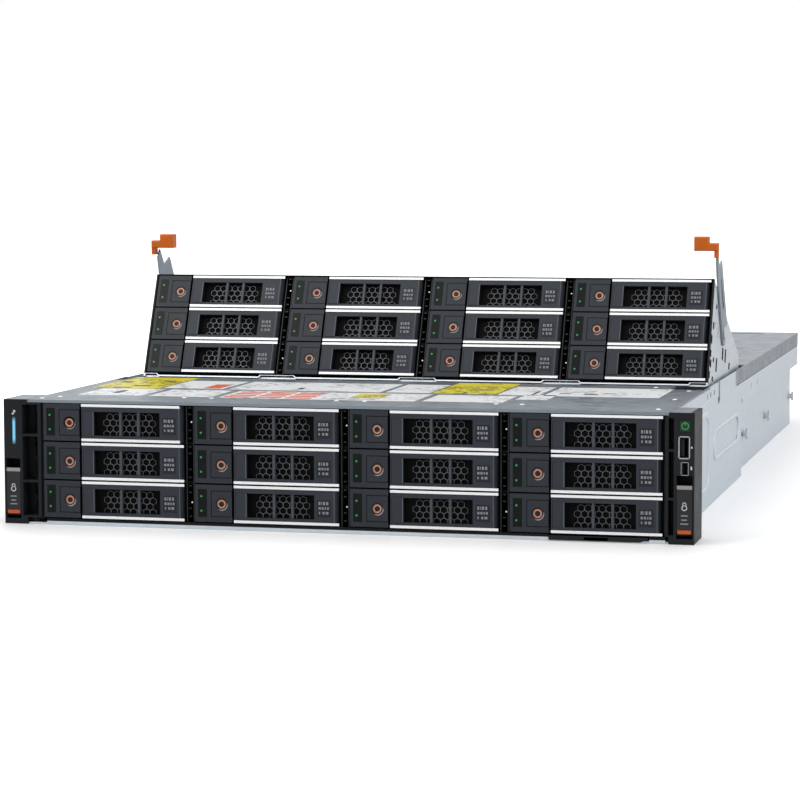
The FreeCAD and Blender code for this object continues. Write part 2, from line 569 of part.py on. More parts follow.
def front_drive_cage():
    """Fixed cage of the front drives, standing on the chassis floor under the front cover."""
    x0 = wall_pair(FRONT_GRID_LEFT, 0)[0] - CAGE_SHEET
    x1 = wall_pair(FRONT_GRID_LEFT, COLUMNS - 1)[1] + CAGE_SHEET
    y0, y1 = FRONT_DRIVE_FACE + CAGE_FRONT, FRONT_DRIVE_FACE + DRIVE_END
    bottom = block(x0, x1, y0, y1, FLOOR, FLOOR + CAGE_SHEET)
    top = block(x0, x1, y0, y1, WALL_TOP - CAGE_SHEET, WALL_TOP)
    walls = lattice(FRONT_GRID_LEFT, FRONT_GRID_LOW, FRONT_DRIVE_FACE, FLOOR, WALL_TOP, True)
    guides = [block(x, x + TAG_GUIDE, y0, y0 + TAG_LENGTH, FLOOR, TAG_HEIGHT + TAG_SHEET)
              for x in (TAG_LEFT - TAG_GUIDE - TAG_GAP, TAG_RIGHT + TAG_GAP)]
    return fused(bottom, top, *walls, *guides)


def info_tag():
    """Pull-out card: a plate under the drives, and a finger lip with one slanted end."""
    top, left, right = TAG_HEIGHT + TAG_SHEET, TAG_LEFT - TAG_LIP_LEFT, TAG_RIGHT + TAG_SLOPE
    plate = block(TAG_LEFT, TAG_RIGHT, TAG_SHEET / 2, TAG_LENGTH, TAG_HEIGHT, top)
    lip = along([(left, TAG_LIP_LOW), (TAG_RIGHT, TAG_LIP_LOW), (right, TAG_HEIGHT), (right, top), (left, top)],
                0, TAG_SHEET)
    return fused(plate, lip)


def backplane(left, low, face, x0, x1, z0, z1):
    """Board behind the drives, with an air window beside each column's plugs."""
    y0 = face + BACKPLANE_FACE
    windows = []
    for column in range(COLUMNS):
        x = left + column * COLUMN_PITCH + AIR_LEFT
        windows.append(block(x, x + AIR_WIDTH, y0 - CUT, y0 + BOARD_THICKNESS + CUT, z0 + AIR_MARGIN,
                             z1 - AIR_MARGIN))
    plugs = [block(p.x + CONNECTOR_LEFT + CONNECTOR_INSET, p.x + CONNECTOR_LEFT + CONNECTOR_WIDTH - CONNECTOR_INSET,
                   face + DRIVE_END - CONNECTOR_ENTRY, y0, p.z + DISK_LOW, p.z + DISK_LOW + CONNECTOR_HEIGHT)
             for p in grid(left, low, face)]
    return [cut(block(x0, x1, y0, y0 + BOARD_THICKNESS, z0, z1), *windows)] + plugs


def front_backplane():
    x0, x1 = wall_pair(FRONT_GRID_LEFT, 0)[0], wall_pair(FRONT_GRID_LEFT, COLUMNS - 1)[1]
    return backplane(FRONT_GRID_LEFT, FRONT_GRID_LOW, FRONT_DRIVE_FACE, x0, x1, FLOOR, WALL_TOP - CAGE_SHEET)


def mid_backplane():
    pieces = backplane(MID_GRID_LEFT, MID_GRID_LOW, MID_DRIVE_FACE, -MID_BOARD_LEFT, MID_BOARD_RIGHT,
                       BAY_BOTTOM + PLATE, BAY_SHOULDER - CAGE_SHEET)
    return [raised(piece) for piece in pieces]


# ---- middle bay -------------------------------------------------------------------------
def bay_side_plate(x0, x1):
    """Side plate with screw holes down the front edge and three weight-saving slots."""
    outline = [(BAY_FACE, BAY_BOTTOM), (BAY_FOOT_END, BAY_BOTTOM)] + [
        (BAY_FOOT_END + dy, z) for dy, z in BAY_THROAT] + [
        (BAY_REAR, BAY_TAIL_LOW), (BAY_REAR, BAY_SHOULDER), (BAY_TOP_END + BAY_STEP, BAY_SHOULDER),
        (BAY_TOP_END, BAY_TOP), (BAY_FACE, BAY_TOP)]
    holes = [across(flats(SIDE_HOLE_Y, z, SIDE_HOLE_RADIUS, 6), x0 - CUT, x1 + CUT) for z in SIDE_HOLE_Z]
    half_y, half_z = SIDE_SLOT_LENGTH / 2, SIDE_SLOT_HEIGHT / 2
    slots = [block(x0 - CUT, x1 + CUT, y - half_y, y + half_y, z - half_z, z + half_z) for y, z in SIDE_SLOTS]
    return cut(across(outline, x0, x1), *holes, *slots)


def bay_top():
    """Top sheet in two heights, joined by a slope behind the disks."""
    upper = [(BAY_FACE, BAY_TOP), (BAY_TOP_END, BAY_TOP), (BAY_TOP_END + BAY_STEP, BAY_SHOULDER),
             (BAY_REAR, BAY_SHOULDER)]
    lower = [(BAY_REAR, BAY_SHOULDER - CAGE_SHEET), (BAY_TOP_END + BAY_STEP - CAGE_SHEET / 2, BAY_SHOULDER - CAGE_SHEET),
             (BAY_TOP_END - CAGE_SHEET / 2, BAY_TOP - CAGE_SHEET), (BAY_FACE, BAY_TOP - CAGE_SHEET)]
    return across(upper + lower, BAY_LEFT + PLATE / 2, BAY_RIGHT - PLATE / 2)


def bay_front_lip():
    """Bright front edge of the bottom sheet, which steps up at each divider."""
    low, high = BAY_BOTTOM, BAY_BOTTOM + LIP_RISE
    points = [(BAY_LEFT, high)]
    for column in range(COLUMNS):
        x = MID_GRID_LEFT + column * COLUMN_PITCH
        points += [(x + LIP_DROP, high), (x + LIP_DROP + LIP_SLOPE, low), (x + LIP_LIFT, low),
                   (x + LIP_LIFT + LIP_SLOPE, high)]
    points.append((BAY_RIGHT, high))
    return along(points + [(x, z + LIP_THICK) for x, z in reversed(points)], BAY_FACE, BAY_FACE + LIP_DEPTH)


def bay_beam():
    """Angle across the foot of the backplane, which carries the hinge straps."""
    front = MID_DRIVE_FACE + BACKPLANE_FACE + BOARD_THICKNESS
    low, reach = BAY_BOTTOM + PLATE / 2, HINGE_STRAP_X + HINGE_STRAP
    return across([(front, low), (BAY_FOOT_END, low), (BAY_FOOT_END, BEAM_FOOT), (front + BEAM_LIP, BEAM_FOOT),
                   (front + BEAM_LIP, BEAM_TOP), (front, BEAM_TOP)], -reach, reach)


def hinge_strap(x0, x1):
    """Arm from the cross member back to the hinge eye."""
    eye = across(flats(HINGE_Y, HINGE_Z, HINGE_EYE), x0, x1)
    root, foot = BAY_FOOT_END - STRAP_ROOT, BAY_BOTTOM + PLATE
    strap = across([(root, foot), (BAY_FOOT_END, foot), (HINGE_Y, HINGE_Z - HINGE_EYE),
                    (HINGE_Y, HINGE_Z + HINGE_EYE), (BAY_FOOT_END - STRAP_BROW, STRAP_TOP), (root, STRAP_TOP)], x0, x1)
    return cut(fused(eye, strap), rod_x(x0 - CUT, x1 + CUT, HINGE_Y, HINGE_Z, BAY_HINGE_PIN + PIN_FIT))


def arm_pivot(plate_face, side):
    """Headed pivot on a side plate: the arm turns on it under the head."""
    root = plate_face - side * PLATE / 2
    shank_end = plate_face + side * (ARM_GAP + ARM_SHEET + ARM_GAP / 2)
    shank = rod_x(root, shank_end, ARM_PIVOT_Y, ARM_PIVOT_Z, ARM_PIN_RADIUS)
    head = across(flats(ARM_PIVOT_Y, ARM_PIVOT_Z, ARM_HEAD_RADIUS), shank_end, shank_end + side * ARM_HEAD)
    return [shank, head]


def mid_bay_cage():
    """The tilting cage: side plates, bottom and stepped top sheets, dividers and hinge straps."""
    inner0, inner1 = BAY_LEFT + PLATE, BAY_RIGHT - PLATE
    bottom = block(inner0 - PLATE / 2, inner1 + PLATE / 2, BAY_FACE + LIP_RISE, BAY_FOOT_END, BAY_BOTTOM,
                   BAY_BOTTOM + PLATE)
    straps = [hinge_strap(HINGE_STRAP_X, HINGE_STRAP_X + HINGE_STRAP),
              hinge_strap(-HINGE_STRAP_X - HINGE_STRAP, -HINGE_STRAP_X)]
    walls = lattice(MID_GRID_LEFT, MID_GRID_LOW, MID_DRIVE_FACE, BAY_BOTTOM, BAY_TOP - CAGE_SHEET / 2, False)
    pivots = arm_pivot(BAY_RIGHT, 1) + arm_pivot(BAY_LEFT, -1)
    sides = [bay_side_plate(BAY_LEFT, inner0), bay_side_plate(inner1, BAY_RIGHT)]
    return raised(fused(*sides, bottom, bay_top(), bay_beam(), bay_front_lip(), *straps, *walls, *pivots))


# ---- lift arms --------------------------------------------------------------------------
def arm_outline():
    """Blade round the pivot, level along the top when folded, with a neck down to the grip."""
    y, z = ARM_PIVOT_Y, ARM_PIVOT_Z
    boss = [(y + ARM_BOSS * math.cos(math.radians(a)), z + ARM_BOSS * math.sin(math.radians(a)))
            for a in range(20, -101, -20)]
    return offsets(y, z, ARM_BACK) + boss + offsets(y, z, ARM_NECK)


def arm_faces(side):
    """Inner and outer face of an arm's blade."""
    inner = (BAY_RIGHT if side > 0 else BAY_LEFT) + side * ARM_GAP
    return inner, inner + side * ARM_SHEET


def lift_arm(side):
    """Steel blade that turns on the side plate's headed pivot."""
    x0, x1 = sorted(arm_faces(side))
    bore = across(bore_flats(ARM_PIVOT_Y, ARM_PIVOT_Z, ARM_PIN_RADIUS), x0 - CUT, x1 + CUT)
    y0, y1, z0, z1 = ARM_SLOT
    slot = block(x0 - CUT, x1 + CUT, ARM_PIVOT_Y + y0, ARM_PIVOT_Y + y1, ARM_PIVOT_Z + z0, ARM_PIVOT_Z + z1)
    return raised(unfolded(cut(across(arm_outline(), x0, x1), bore, slot)))


def lift_grip(side):
    """Stepped finger grip clipped over the end of the arm's neck, in its raised attitude."""
    face, outer = arm_faces(side)
    inner = face - side * GRIP_INSET
    step = inner + side * GRIP_BLOCK
    tip = raised(unfolded(Part.Vertex(V(0, ARM_PIVOT_Y + ARM_TIP[0], ARM_PIVOT_Z + ARM_TIP[1])))).Point
    y0, y1 = tip.y - GRIP_DEPTH / 2, tip.y + GRIP_DEPTH / 2
    base = tip.z + GRIP_RISE
    wrap = outer + side * GRIP_WRAP
    main = block(*sorted((inner, step)), y0, y1, base, base + GRIP_BLOCK)
    bridge = block(*sorted((step - side * GRIP_WRAP, wrap)), y0, y1, base, base + GRIP_BLOCK * GRIP_BRIDGE)
    root = block(*sorted((face - side * GRIP_WRAP, wrap)), y0 + GRIP_ROOT_INSET, y1 - GRIP_ROOT_INSET,
                 base - GRIP_ROOT, base + GRIP_WRAP)
    grip = fused(main, bridge, root)
    return cut(grip.makeChamfer(GRIP_ROUND, front_edges(grip, y0, base)), lift_arm(side))


def front_edges(grip, y, base):
    """Edges of the grip's front face, above its root."""
    return [e for e in grip.Edges if e.BoundBox.YLength < PIN_FIT and abs(e.BoundBox.YMin - y) < PIN_FIT
            and e.BoundBox.ZMin > base - PIN_FIT]


# ---- chassis ----------------------------------------------------------------------------
def front_wall(side):
    """Wall of the wide front section, with the hook slot, three narrow slots and a sunk panel."""
    x0, x1 = sorted((side * HALF_BODY, side * SKIRT_INNER))
    end, notch = FRONT_SECTION_END + WALL, FRONT_COVER_END + CUT
    outline = [(WALL_START, 0), (end, 0), (end, BAND_TOP), (BAND_START, BAND_TOP), (BAND_START, BAY_TOP),
               (notch, BAY_TOP), (notch, WALL_TOP), (WALL_START, WALL_TOP)]
    hook = across(HOOK_SLOT, x0 - CUT, x1 + CUT)
    slots = [block(x0 - CUT, x1 + CUT, y, y + WALL_SLOT, FRONT_SLOT_LOW, FRONT_SLOT_HIGH) for y in FRONT_SLOT_Y]
    panel = sided(side, HALF_BODY - PANEL_DEPTH, HALF_BODY + CUT, PANEL_START, PANEL_END, PANEL_LOW, PANEL_HIGH)
    return cut(across(outline, x0, x1), hook, panel, *slots)


def upper_wall(side):
    """Wall inside the rear cover's skirt, joined to the band below by a return."""
    inner = UPPER_WALL - WALL
    wall = sided(side, inner, UPPER_WALL, BAND_START, BODY_DEPTH, BAND_TOP - WALL, WALL_TOP)
    return fused(wall, sided(side, inner, HALF_BODY, BAND_START, BODY_DEPTH, BAND_TOP - WALL, BAND_TOP))


def step_walls(side):
    """Where the chassis steps in to run between the rails: closing sheet, shoulder, lower wall, band."""
    inner, end, top = HALF_BASE - WALL, FRONT_SECTION_END, SHOULDER_HEIGHT + WALL
    closing = sided(side, inner, HALF_BODY, end, end + WALL, 0, top)
    shoulder = sided(side, inner, HALF_BODY, end, BODY_DEPTH, SHOULDER_HEIGHT, top)
    lower = sided(side, inner, HALF_BASE, end, BODY_DEPTH, 0, top)
    band = sided(side, SKIRT_INNER, HALF_BODY, end, BODY_DEPTH, SHOULDER_HEIGHT, BAND_TOP)
    slots = [sided(side, SKIRT_INNER - CUT, HALF_BODY + CUT, y, y + WALL_SLOT, BAND_SLOT_LOW, BAND_SLOT_HIGH)
             for y in BAND_SLOT_Y]
    return [closing, shoulder, lower, cut(band, *slots)]


def rear_wall():
    """Rear wall: openings for the supplies, the ports and the expansion slots, and vent slots."""
    y0, y1 = BODY_DEPTH - WALL, BODY_DEPTH
    c0, c1 = y0 - CUT, y1 + CUT
    lower = block(-HALF_BASE, HALF_BASE, y0, y1, 0, SHOULDER_HEIGHT + WALL)
    upper = block(-UPPER_WALL, UPPER_WALL, y0, y1, SHOULDER_HEIGHT, WALL_TOP)
    holes = [sided(side, PSU_SIDE - BAY_GAP, PSU_SIDE + PSU_WIDTH + BAY_GAP, c0, c1, FLOOR,
                   PSU_LOW + PSU_HEIGHT + SLIDE_GAP) for side in (-1, 1)]
    holes += [block(PORTS_LEFT, PORTS_RIGHT, c0, c1, BOARD_TOP - BAY_GAP, BOARD_TOP + PORT_HEIGHT),
              block(SLOT_LEFT, SLOT_LEFT + SLOT_COUNT * SLOT_PITCH, c0, c1, BOARD_TOP + SLOT_LOW,
                    WALL_TOP - SLOT_TOP_GAP)]
    count = int((VENT_RIGHT - VENT_LEFT) // VENT_PITCH)
    vents = [block(x, x + VENT_WIDTH, c0, c1, VENT_LOW, VENT_HIGH)
             for x in (VENT_LEFT + i * VENT_PITCH for i in range(count))]
    vents += [sided(side, x, x + VENT_WIDTH, c0, c1, VENT_LOW, VENT_HIGH) for side in (-1, 1) for x in SIDE_VENTS]
    return cut(fused(lower, upper), *holes, *vents)


def chassis_tray():
    """Folded steel tray: floor, stepped side walls, rear wall, front lip and board standoffs."""
    end = FRONT_SECTION_END
    floors = [block(-HALF_BODY, HALF_BODY, TRAY_START, end + WALL, 0, FLOOR),
              block(-HALF_BASE, HALF_BASE, end, BODY_DEPTH, 0, FLOOR)]
    lips = [block(x0, x1, FRONT_LIP_START, TRAY_START, 0, FRONT_LIP_HEIGHT)
            for x0, x1 in ((FRONT_GRID_LEFT + FRONT_LIP_GAP, TAG_LEFT - FRONT_LIP_GAP),
                           (TAG_RIGHT + TAG_SLOPE + FRONT_LIP_GAP / 2, HALF_BODY - FRONT_LIP_GAP))]
    guides = [sided(side, PSU_SIDE - BAY_GAP - WALL, PSU_SIDE - BAY_GAP, PSU_REAR - PSU_LENGTH,
                    BODY_DEPTH - WALL / 2, FLOOR / 2, PSU_LOW + PSU_HEIGHT) for side in (-1, 1)]
    posts = [upright(flats(x, y, STANDOFF_RADIUS, STANDOFF_SIDES), FLOOR / 2, FLOOR + STANDOFF)
             for x, y in standoffs()]
    walls = [wall for side in (-1, 1) for wall in [front_wall(side), upper_wall(side)] + step_walls(side)]
    return fused(*floors, *lips, *walls, rear_wall(), *guides, *posts)


def standoffs():
    """Places of the posts that hold the board up."""
    front, neck, rear = BOARD_FRONT + STANDOFF_INSET, BOARD_NECK - STANDOFF_INSET, BOARD_REAR - STANDOFF_INSET
    return [(side * x, y) for side in (-1, 1)
            for x, y in ((STANDOFF_SIDE, front), (STANDOFF_SIDE, neck), (STANDOFF_MIDDLE, rear))]


def chassis_studs():
    """Rail studs on the lower walls, and the two pins that the middle bay swings on."""
    studs = []
    for side in (-1, 1):
        shank_end = side * (HALF_BASE + STUD_SHANK_LENGTH)
        for y in STUD_Y:
            shank = across(flats(y, STUD_Z, STUD_SHANK, STUD_SHANK_SIDES), side * HALF_BASE, shank_end)
            head = across(flats(y, STUD_Z, STUD_HEAD), shank_end, shank_end + side * STUD_HEAD_LENGTH)
            studs.append(fused(shank, head))
        studs.append(rod_x(side * (HINGE_STRAP_X - PIN_PAST_STRAP), side * (HALF_BASE - WALL), HINGE_Y, HINGE_Z,
                           BAY_HINGE_PIN))
    return studs


# ---- covers -----------------------------------------------------------------------------
def front_cover():
    """Cover over the front drives. Its rear corners are notched for the folded grips."""
    start, end = FRONT_COVER_START, FRONT_COVER_END
    plate = block(-HALF_BODY, HALF_BODY, start, end, LID, HEIGHT)
    lip = block(-HALF_BODY, HALF_BODY, start, start + COVER_LIP_DEPTH, LID - COVER_LIP_DROP, HEIGHT)
    notches = [sided(side, SKIRT_INNER, HALF_BODY - GRIP_NOTCH_WIDTH, GRIP_NOTCH_START, end + CUT, LID - CUT,
                     HEIGHT + CUT) for side in (-1, 1)]
    return cut(fused(plate, lip), *notches)


def cover_skirt(side):
    """Side of the rear cover, which runs forward beside the bay."""
    skirt = sided(side, SKIRT_INNER, HALF_BODY, SKIRT_START, BODY_DEPTH, SKIRT_LOW, HEIGHT)
    return cut(skirt, *[sided(side, SKIRT_INNER - CUT, HALF_BODY + CUT, y, y + SKIRT_SLOT, SKIRT_SLOT_LOW,
                              SKIRT_SLOT_HIGH) for y in SKIRT_SLOT_Y])


def rear_cover():
    """Sliding cover with skirts that run forward beside the bay, a latch well and rear vents."""
    rear = BODY_DEPTH + LID_GAP
    plate = block(-HALF_BODY, HALF_BODY, REAR_COVER_START, rear + TAIL_SHEET, LID, HEIGHT)
    tail = block(-HALF_BODY, HALF_BODY, rear, rear + TAIL_SHEET, LID - TAIL_DROP, HEIGHT)
    half, wall = COVER_LATCH_WIDTH / 2, COVER_WELL_WALL
    y0, y1, low = COVER_LATCH_Y, COVER_LATCH_Y + COVER_LATCH_LENGTH, LID - COVER_WELL_DEPTH
    well = block(-half - wall, half + wall, y0 - wall, y1 + wall, low, LID + COVER / 2)
    hollow = block(-half, half, y0, y1, low + COVER_WELL_FLOOR, HEIGHT + CUT)
    pin = rod_x(-half - wall / 2, half + wall / 2, *cover_latch_pin(), COVER_LATCH_PIN)
    count = int(2 * COVER_VENT_SIDE // COVER_VENT_PITCH)
    vents = [block(x, x + COVER_VENT_LENGTH, COVER_VENT_START, COVER_VENT_END, LID - CUT, HEIGHT + CUT)
             for x in (-COVER_VENT_SIDE + i * COVER_VENT_PITCH for i in range(count))]
    beads = [sided(side, BEAD_INNER, BEAD_OUTER, BEAD_START, BEAD_END, HEIGHT - BEAD_DEPTH, HEIGHT + CUT)
             for side in (-1, 1)]
    body = fused(plate, cover_skirt(-1), cover_skirt(1), tail, well)
    return fused(cut(body, hollow, *vents, *beads), pin)


def cover_latch_pin():
    """Axis of the cover latch, near the rear of its well."""
    return COVER_LATCH_Y + COVER_LATCH_LENGTH - COVER_LATCH_PIN_INSET, LID - COVER_LATCH_PIN_DROP


def cover_latch():
    """Flat lever in the cover's well, with a finger scoop at its free end."""
    half, front, top = COVER_LATCH_WIDTH / 2 - COVER_LATCH_GAP, COVER_LATCH_Y + COVER_LATCH_GAP, HEIGHT - LID_GAP
    y, z = cover_latch_pin()
    plate = block(-half, half, front, y, top - COVER_LATCH_SHEET, top)
    barrel = across(flats(y, z, COVER_LATCH_BARREL), -half, half)
    scoop = block(-SCOOP_WIDTH / 2, SCOOP_WIDTH / 2, front - CUT, front + SCOOP_LENGTH, LID - COVER_WELL_DEPTH,
                  HEIGHT + CUT)
    bore = across(bore_flats(y, z, COVER_LATCH_PIN), -half - CUT, half + CUT)
    return cut(fused(plate, barrel), scoop, bore)


# ---- ears -------------------------------------------------------------------------------
def ear(side, frame_inner, slot_inner, openings):
    """Rack ear: deep outer strip, slotted frame beside the drives, and the lever's recess."""
    panel = HALF_EAR - PANEL_WIDTH
    body = sided(side, HALF_BODY, HALF_EAR, 0, EAR_DEPTH, 0, HEIGHT)
    frame = sided(side, HALF_BODY, frame_inner, FRAME_FRONT, FRAME_DEPTH, FRAME_LOW, FRAME_TOP)
    strip = sided(side, HALF_BODY, panel, 0, FRAME_DEPTH, 0, FRAME_TOP)
    bars = [z + s * SLOT_BAR / 2 for z in SLOT_BARS for s in (-1, 1)]
    levels = [FRAME_LOW + FRAME_EDGE] + bars + [FRAME_TOP - FRAME_EDGE]
    slots = [sided(side, slot_inner, panel - SLOT_SIDE, -CUT, FRAME_DEPTH + CUT, z0, z1)
             for z0, z1 in zip(levels[::2], levels[1::2])]
    half = LEVER_WIDTH / 2 + LEVER_GAP
    recess = sided(side, LEVER_MIDDLE - half, LEVER_MIDDLE + half, -CUT, RECESS_DEPTH,
                   LEVER_PIN_Z - LEVER_END_RADIUS - LEVER_FOOT_GAP, RECESS_TOP)
    pin = rod_x(side * LEVER_MIDDLE - half - LEVER_GAP, side * LEVER_MIDDLE + half + LEVER_GAP, LEVER_PIN_Y,
                LEVER_PIN_Z, LEVER_PIN_RADIUS)
    return fused(cut(fused(body, frame, strip), recess, *slots, *openings), pin)


def release_lever(side):
    """Pull lever that turns out on a pin at its foot, with a raised finger edge at its top."""
    x0, x1 = side * LEVER_MIDDLE - LEVER_WIDTH / 2, side * LEVER_MIDDLE + LEVER_WIDTH / 2
    front, top = LEVER_PIN_Y - LEVER_END_RADIUS, LEVER_TOP
    foot = across(flats(LEVER_PIN_Y, LEVER_PIN_Z, LEVER_END_RADIUS), x0, x1)
    blade = across([(front, LEVER_PIN_Z), (front, top), (front + LEVER_EDGE, top),
                    (front + LEVER_EDGE, top - LEVER_EDGE_LOW), (LEVER_THICK, top - LEVER_NECK),
                    (LEVER_THICK, LEVER_PIN_Z)], x0, x1)
    bore = across(bore_flats(LEVER_PIN_Y, LEVER_PIN_Z, LEVER_PIN_RADIUS), x0 - CUT, x1 + CUT)
    return cut(fused(blade, foot), bore)


def pocket(x, z, width, height, depth):
    """A rectangular recess in a front face, centred on (x, z)."""
    return block(x - width / 2, x + width / 2, -CUT, depth, z - height / 2, z + height / 2)


def ear_button(x, z, width, height, depth):
    return block(x - width / 2, x + width / 2, 0, depth, z - height / 2, z + height / 2)


def make_ears():
    """Both ears with their levers, and the button that each carries."""
    fit = 2 * BUTTON_FIT
    id_hole = pocket(ID_X, ID_BAR_Z, ID_BAR_WIDTH + fit, ID_BAR_HEIGHT + fit, ID_DEPTH + EAR_BUTTON_TRAVEL)
    left_frame = -wall_pair(FRONT_GRID_LEFT, 0)[0] + CAGE_SHEET + LID_GAP
    right_frame = wall_pair(FRONT_GRID_LEFT, COLUMNS - 1)[1] + CAGE_SHEET + LID_GAP
    save("ear_left", ear(-1, left_frame, left_frame + LEFT_SLOT_EDGE, [id_hole]))
    save("id_button", ear_button(ID_X, ID_BAR_Z, ID_BAR_WIDTH, ID_BAR_HEIGHT, ID_DEPTH))
    power_hole = pocket(POWER_X, POWER_BUTTON_Z, POWER_BUTTON + fit, POWER_BUTTON + fit,
                        POWER_DEPTH + EAR_BUTTON_TRAVEL)
    usb = pocket(USB_X, USB_Z, USB_WIDTH, USB_HEIGHT, USB_DEPTH)
    service = pocket(SERVICE_X, SERVICE_Z, SERVICE_WIDTH, SERVICE_HEIGHT, SERVICE_DEPTH)
    right = ear(1, right_frame, right_frame + RIGHT_SLOT_EDGE, [power_hole, usb, service])
    half_w, half_h = USB_WIDTH / 2 - TONGUE_SIDE, USB_HEIGHT / 2 - TONGUE_END
    tongue = block(USB_X - half_w, USB_X, TONGUE_FRONT, USB_DEPTH + TONGUE_FRONT, USB_Z - half_h, USB_Z + half_h)
    save("ear_right", fused(right, tongue))
    save("power_button", ear_button(POWER_X, POWER_BUTTON_Z, POWER_BUTTON, POWER_BUTTON, POWER_DEPTH))
    save("release_lever_left", release_lever(-1))
    save("release_lever_right", release_lever(1))


# ---- fans -------------------------------------------------------------------------------
def fan_centres():
    return [((i - (FANS - 1) / 2) * FAN_PITCH, FLOOR + FAN_SIZE / 2) for i in range(FANS)]


def spun(shape, x, z, degrees):
    """A copy turned about an axis along Y through (x, z)."""
    copy = shape.copy()
    copy.rotate(V(x, 0, z), V(0, 1, 0), degrees)
    return copy


def fan_frame(x, z):
    """Square frame with a wide throat, a strut across it, the motor plate and the shaft."""
    half, y0, y1 = FAN_SIZE / 2, FAN_FRONT, FAN_FRONT + FAN_DEPTH
    throat = along(flats(x, z, FAN_BORE), y0 - CUT, y1 + CUT)
    frame = cut(block(x - half, x + half, y0, y1, z - half, z + half), throat)
    plate = along(flats(x, z, FAN_HUB, FAN_SIDES), y1 - MOTOR_PLATE, y1)
    strut = block(x - half + CUT, x + half - CUT, y1 - MOTOR_PLATE, y1, z - STRUT / 2, z + STRUT / 2)
    shaft = rod_y(y0 + SHAFT_START, y1 - MOTOR_PLATE / 2, x, z, FAN_SHAFT)
    return fused(frame, plate, strut, shaft)


def fan_rotor(x, z):
    """Hub cup with its slanted blades, bored for the shaft."""
    hub = along(flats(x, z, FAN_HUB, FAN_SIDES), FAN_FRONT + HUB_START, FAN_FRONT + FAN_DEPTH - HUB_END)
    angle, mid = math.radians(BLADE_ANGLE), FAN_FRONT + BLADE_MIDDLE
    c, s = math.cos(angle), math.sin(angle)
    reach = math.sqrt((FAN_BORE * math.cos(math.pi / PIN_SIDES) - FAN_TIP_GAP) ** 2 - (BLADE_CHORD * c / 2) ** 2)
    corners = [(u * c - w * s, u * s + w * c) for u, w in (
        (-BLADE_CHORD / 2, -BLADE_SHEET / 2), (BLADE_CHORD / 2, -BLADE_SHEET / 2),
        (BLADE_CHORD / 2, BLADE_SHEET / 2), (-BLADE_CHORD / 2, BLADE_SHEET / 2))]
    blade = upright(offsets(x, mid, corners), z + FAN_HUB / 2, z + reach)
    blades = [spun(blade, x, z, i * 360.0 / FAN_BLADES) for i in range(FAN_BLADES)]
    bore = along(bore_flats(x, z, FAN_SHAFT, SHAFT_SIDES), FAN_FRONT + SHAFT_START - PIN_FIT, FAN_FRONT + FAN_DEPTH)
    return cut(fused(hub, *blades), bore)


# ---- board, heat sinks, memory, air shroud ---------------------------------------------------
def memory_socket(x):
    """Socket of one bank: a block with a groove for each of its memory cards."""
    half, slot, floor, top = STRIP_WIDTH / 2, DIMM_THICK / 2 + DIMM_FIT, BOARD_TOP + DIMM_SEAT, BOARD_TOP + STRIP_HEIGHT
    right = x + (DIMMS_PER_BANK - 1) * DIMM_PITCH
    outline = [(x - half, BOARD_TOP), (right + half, BOARD_TOP), (right + half, top)]
    for i in reversed(range(DIMMS_PER_BANK)):
        middle = x + i * DIMM_PITCH
        outline += [(middle + slot, top), (middle + slot, floor), (middle - slot, floor), (middle - slot, top)]
    outline.append((x - half, top))
    start = BOARD_FRONT + DIMM_START
    return along(outline, start - STRIP_END, start + DIMM_LENGTH + STRIP_END)


def system_board():
    """Main board with processor sockets, memory sockets and the rear ports."""
    half, neck = BOARD_WIDTH / 2, BOARD_NECK_WIDTH / 2
    board = upright([(-half, BOARD_FRONT), (half, BOARD_FRONT), (half, BOARD_NECK), (neck, BOARD_NECK),
                     (neck, BOARD_REAR), (-neck, BOARD_REAR), (-neck, BOARD_NECK), (-half, BOARD_NECK)],
                    BOARD_TOP - BOARD_THICKNESS, BOARD_TOP)
    start = BOARD_FRONT + SINK_START + SOCKET_START
    sockets = [sided(side, SINK_SIDE - SOCKET_WIDTH / 2, SINK_SIDE + SOCKET_WIDTH / 2, start, start + SOCKET_LENGTH,
                     BOARD_TOP, BOARD_TOP + SOCKET_HEIGHT) for side in (-1, 1)]
    return [board] + sockets + [memory_socket(x) for x in DIMM_BANKS] + ports()


def port_shell(x, width, depth, height):
    return block(x - width / 2, x + width / 2, BODY_DEPTH - depth, BODY_DEPTH, BOARD_TOP, BOARD_TOP + height)


def port_mouth(x, width, low, high, depth=PORT_MOUTH):
    return block(x - width / 2, x + width / 2, BODY_DEPTH - depth, BODY_DEPTH + CUT, BOARD_TOP + low, BOARD_TOP + high)


def ports():
    """Two network jacks, two stacked serial bus ports and a video port, flush with the rear wall."""
    jacks = [cut(port_shell(x, JACK_WIDTH, JACK_DEPTH, JACK_HEIGHT),
                 port_mouth(x, JACK_MOUTH, JACK_MOUTH_LOW, JACK_MOUTH_HIGH),
                 port_mouth(x, JACK_KEY, JACK_MOUTH_HIGH - PIN_FIT, JACK_KEY_HIGH)) for x in JACK_X]
    stack = cut(port_shell(STACK_X, STACK_WIDTH, STACK_DEPTH, STACK_HEIGHT),
                *[port_mouth(STACK_X, STACK_MOUTH, z, z + STACK_MOUTH_HEIGHT) for z in STACK_LOW])
    low, high, top, foot = BOARD_TOP + VIDEO_LOW, BOARD_TOP + VIDEO_HIGH, VIDEO_TOP / 2, VIDEO_FOOT / 2
    mouth = along([(VIDEO_X - top, high), (VIDEO_X + top, high), (VIDEO_X + foot, low), (VIDEO_X - foot, low)],
                  BODY_DEPTH - VIDEO_MOUTH, BODY_DEPTH + CUT)
    return jacks + [stack, cut(port_shell(VIDEO_X, VIDEO_WIDTH, VIDEO_DEPTH, VIDEO_HEIGHT), mouth)]


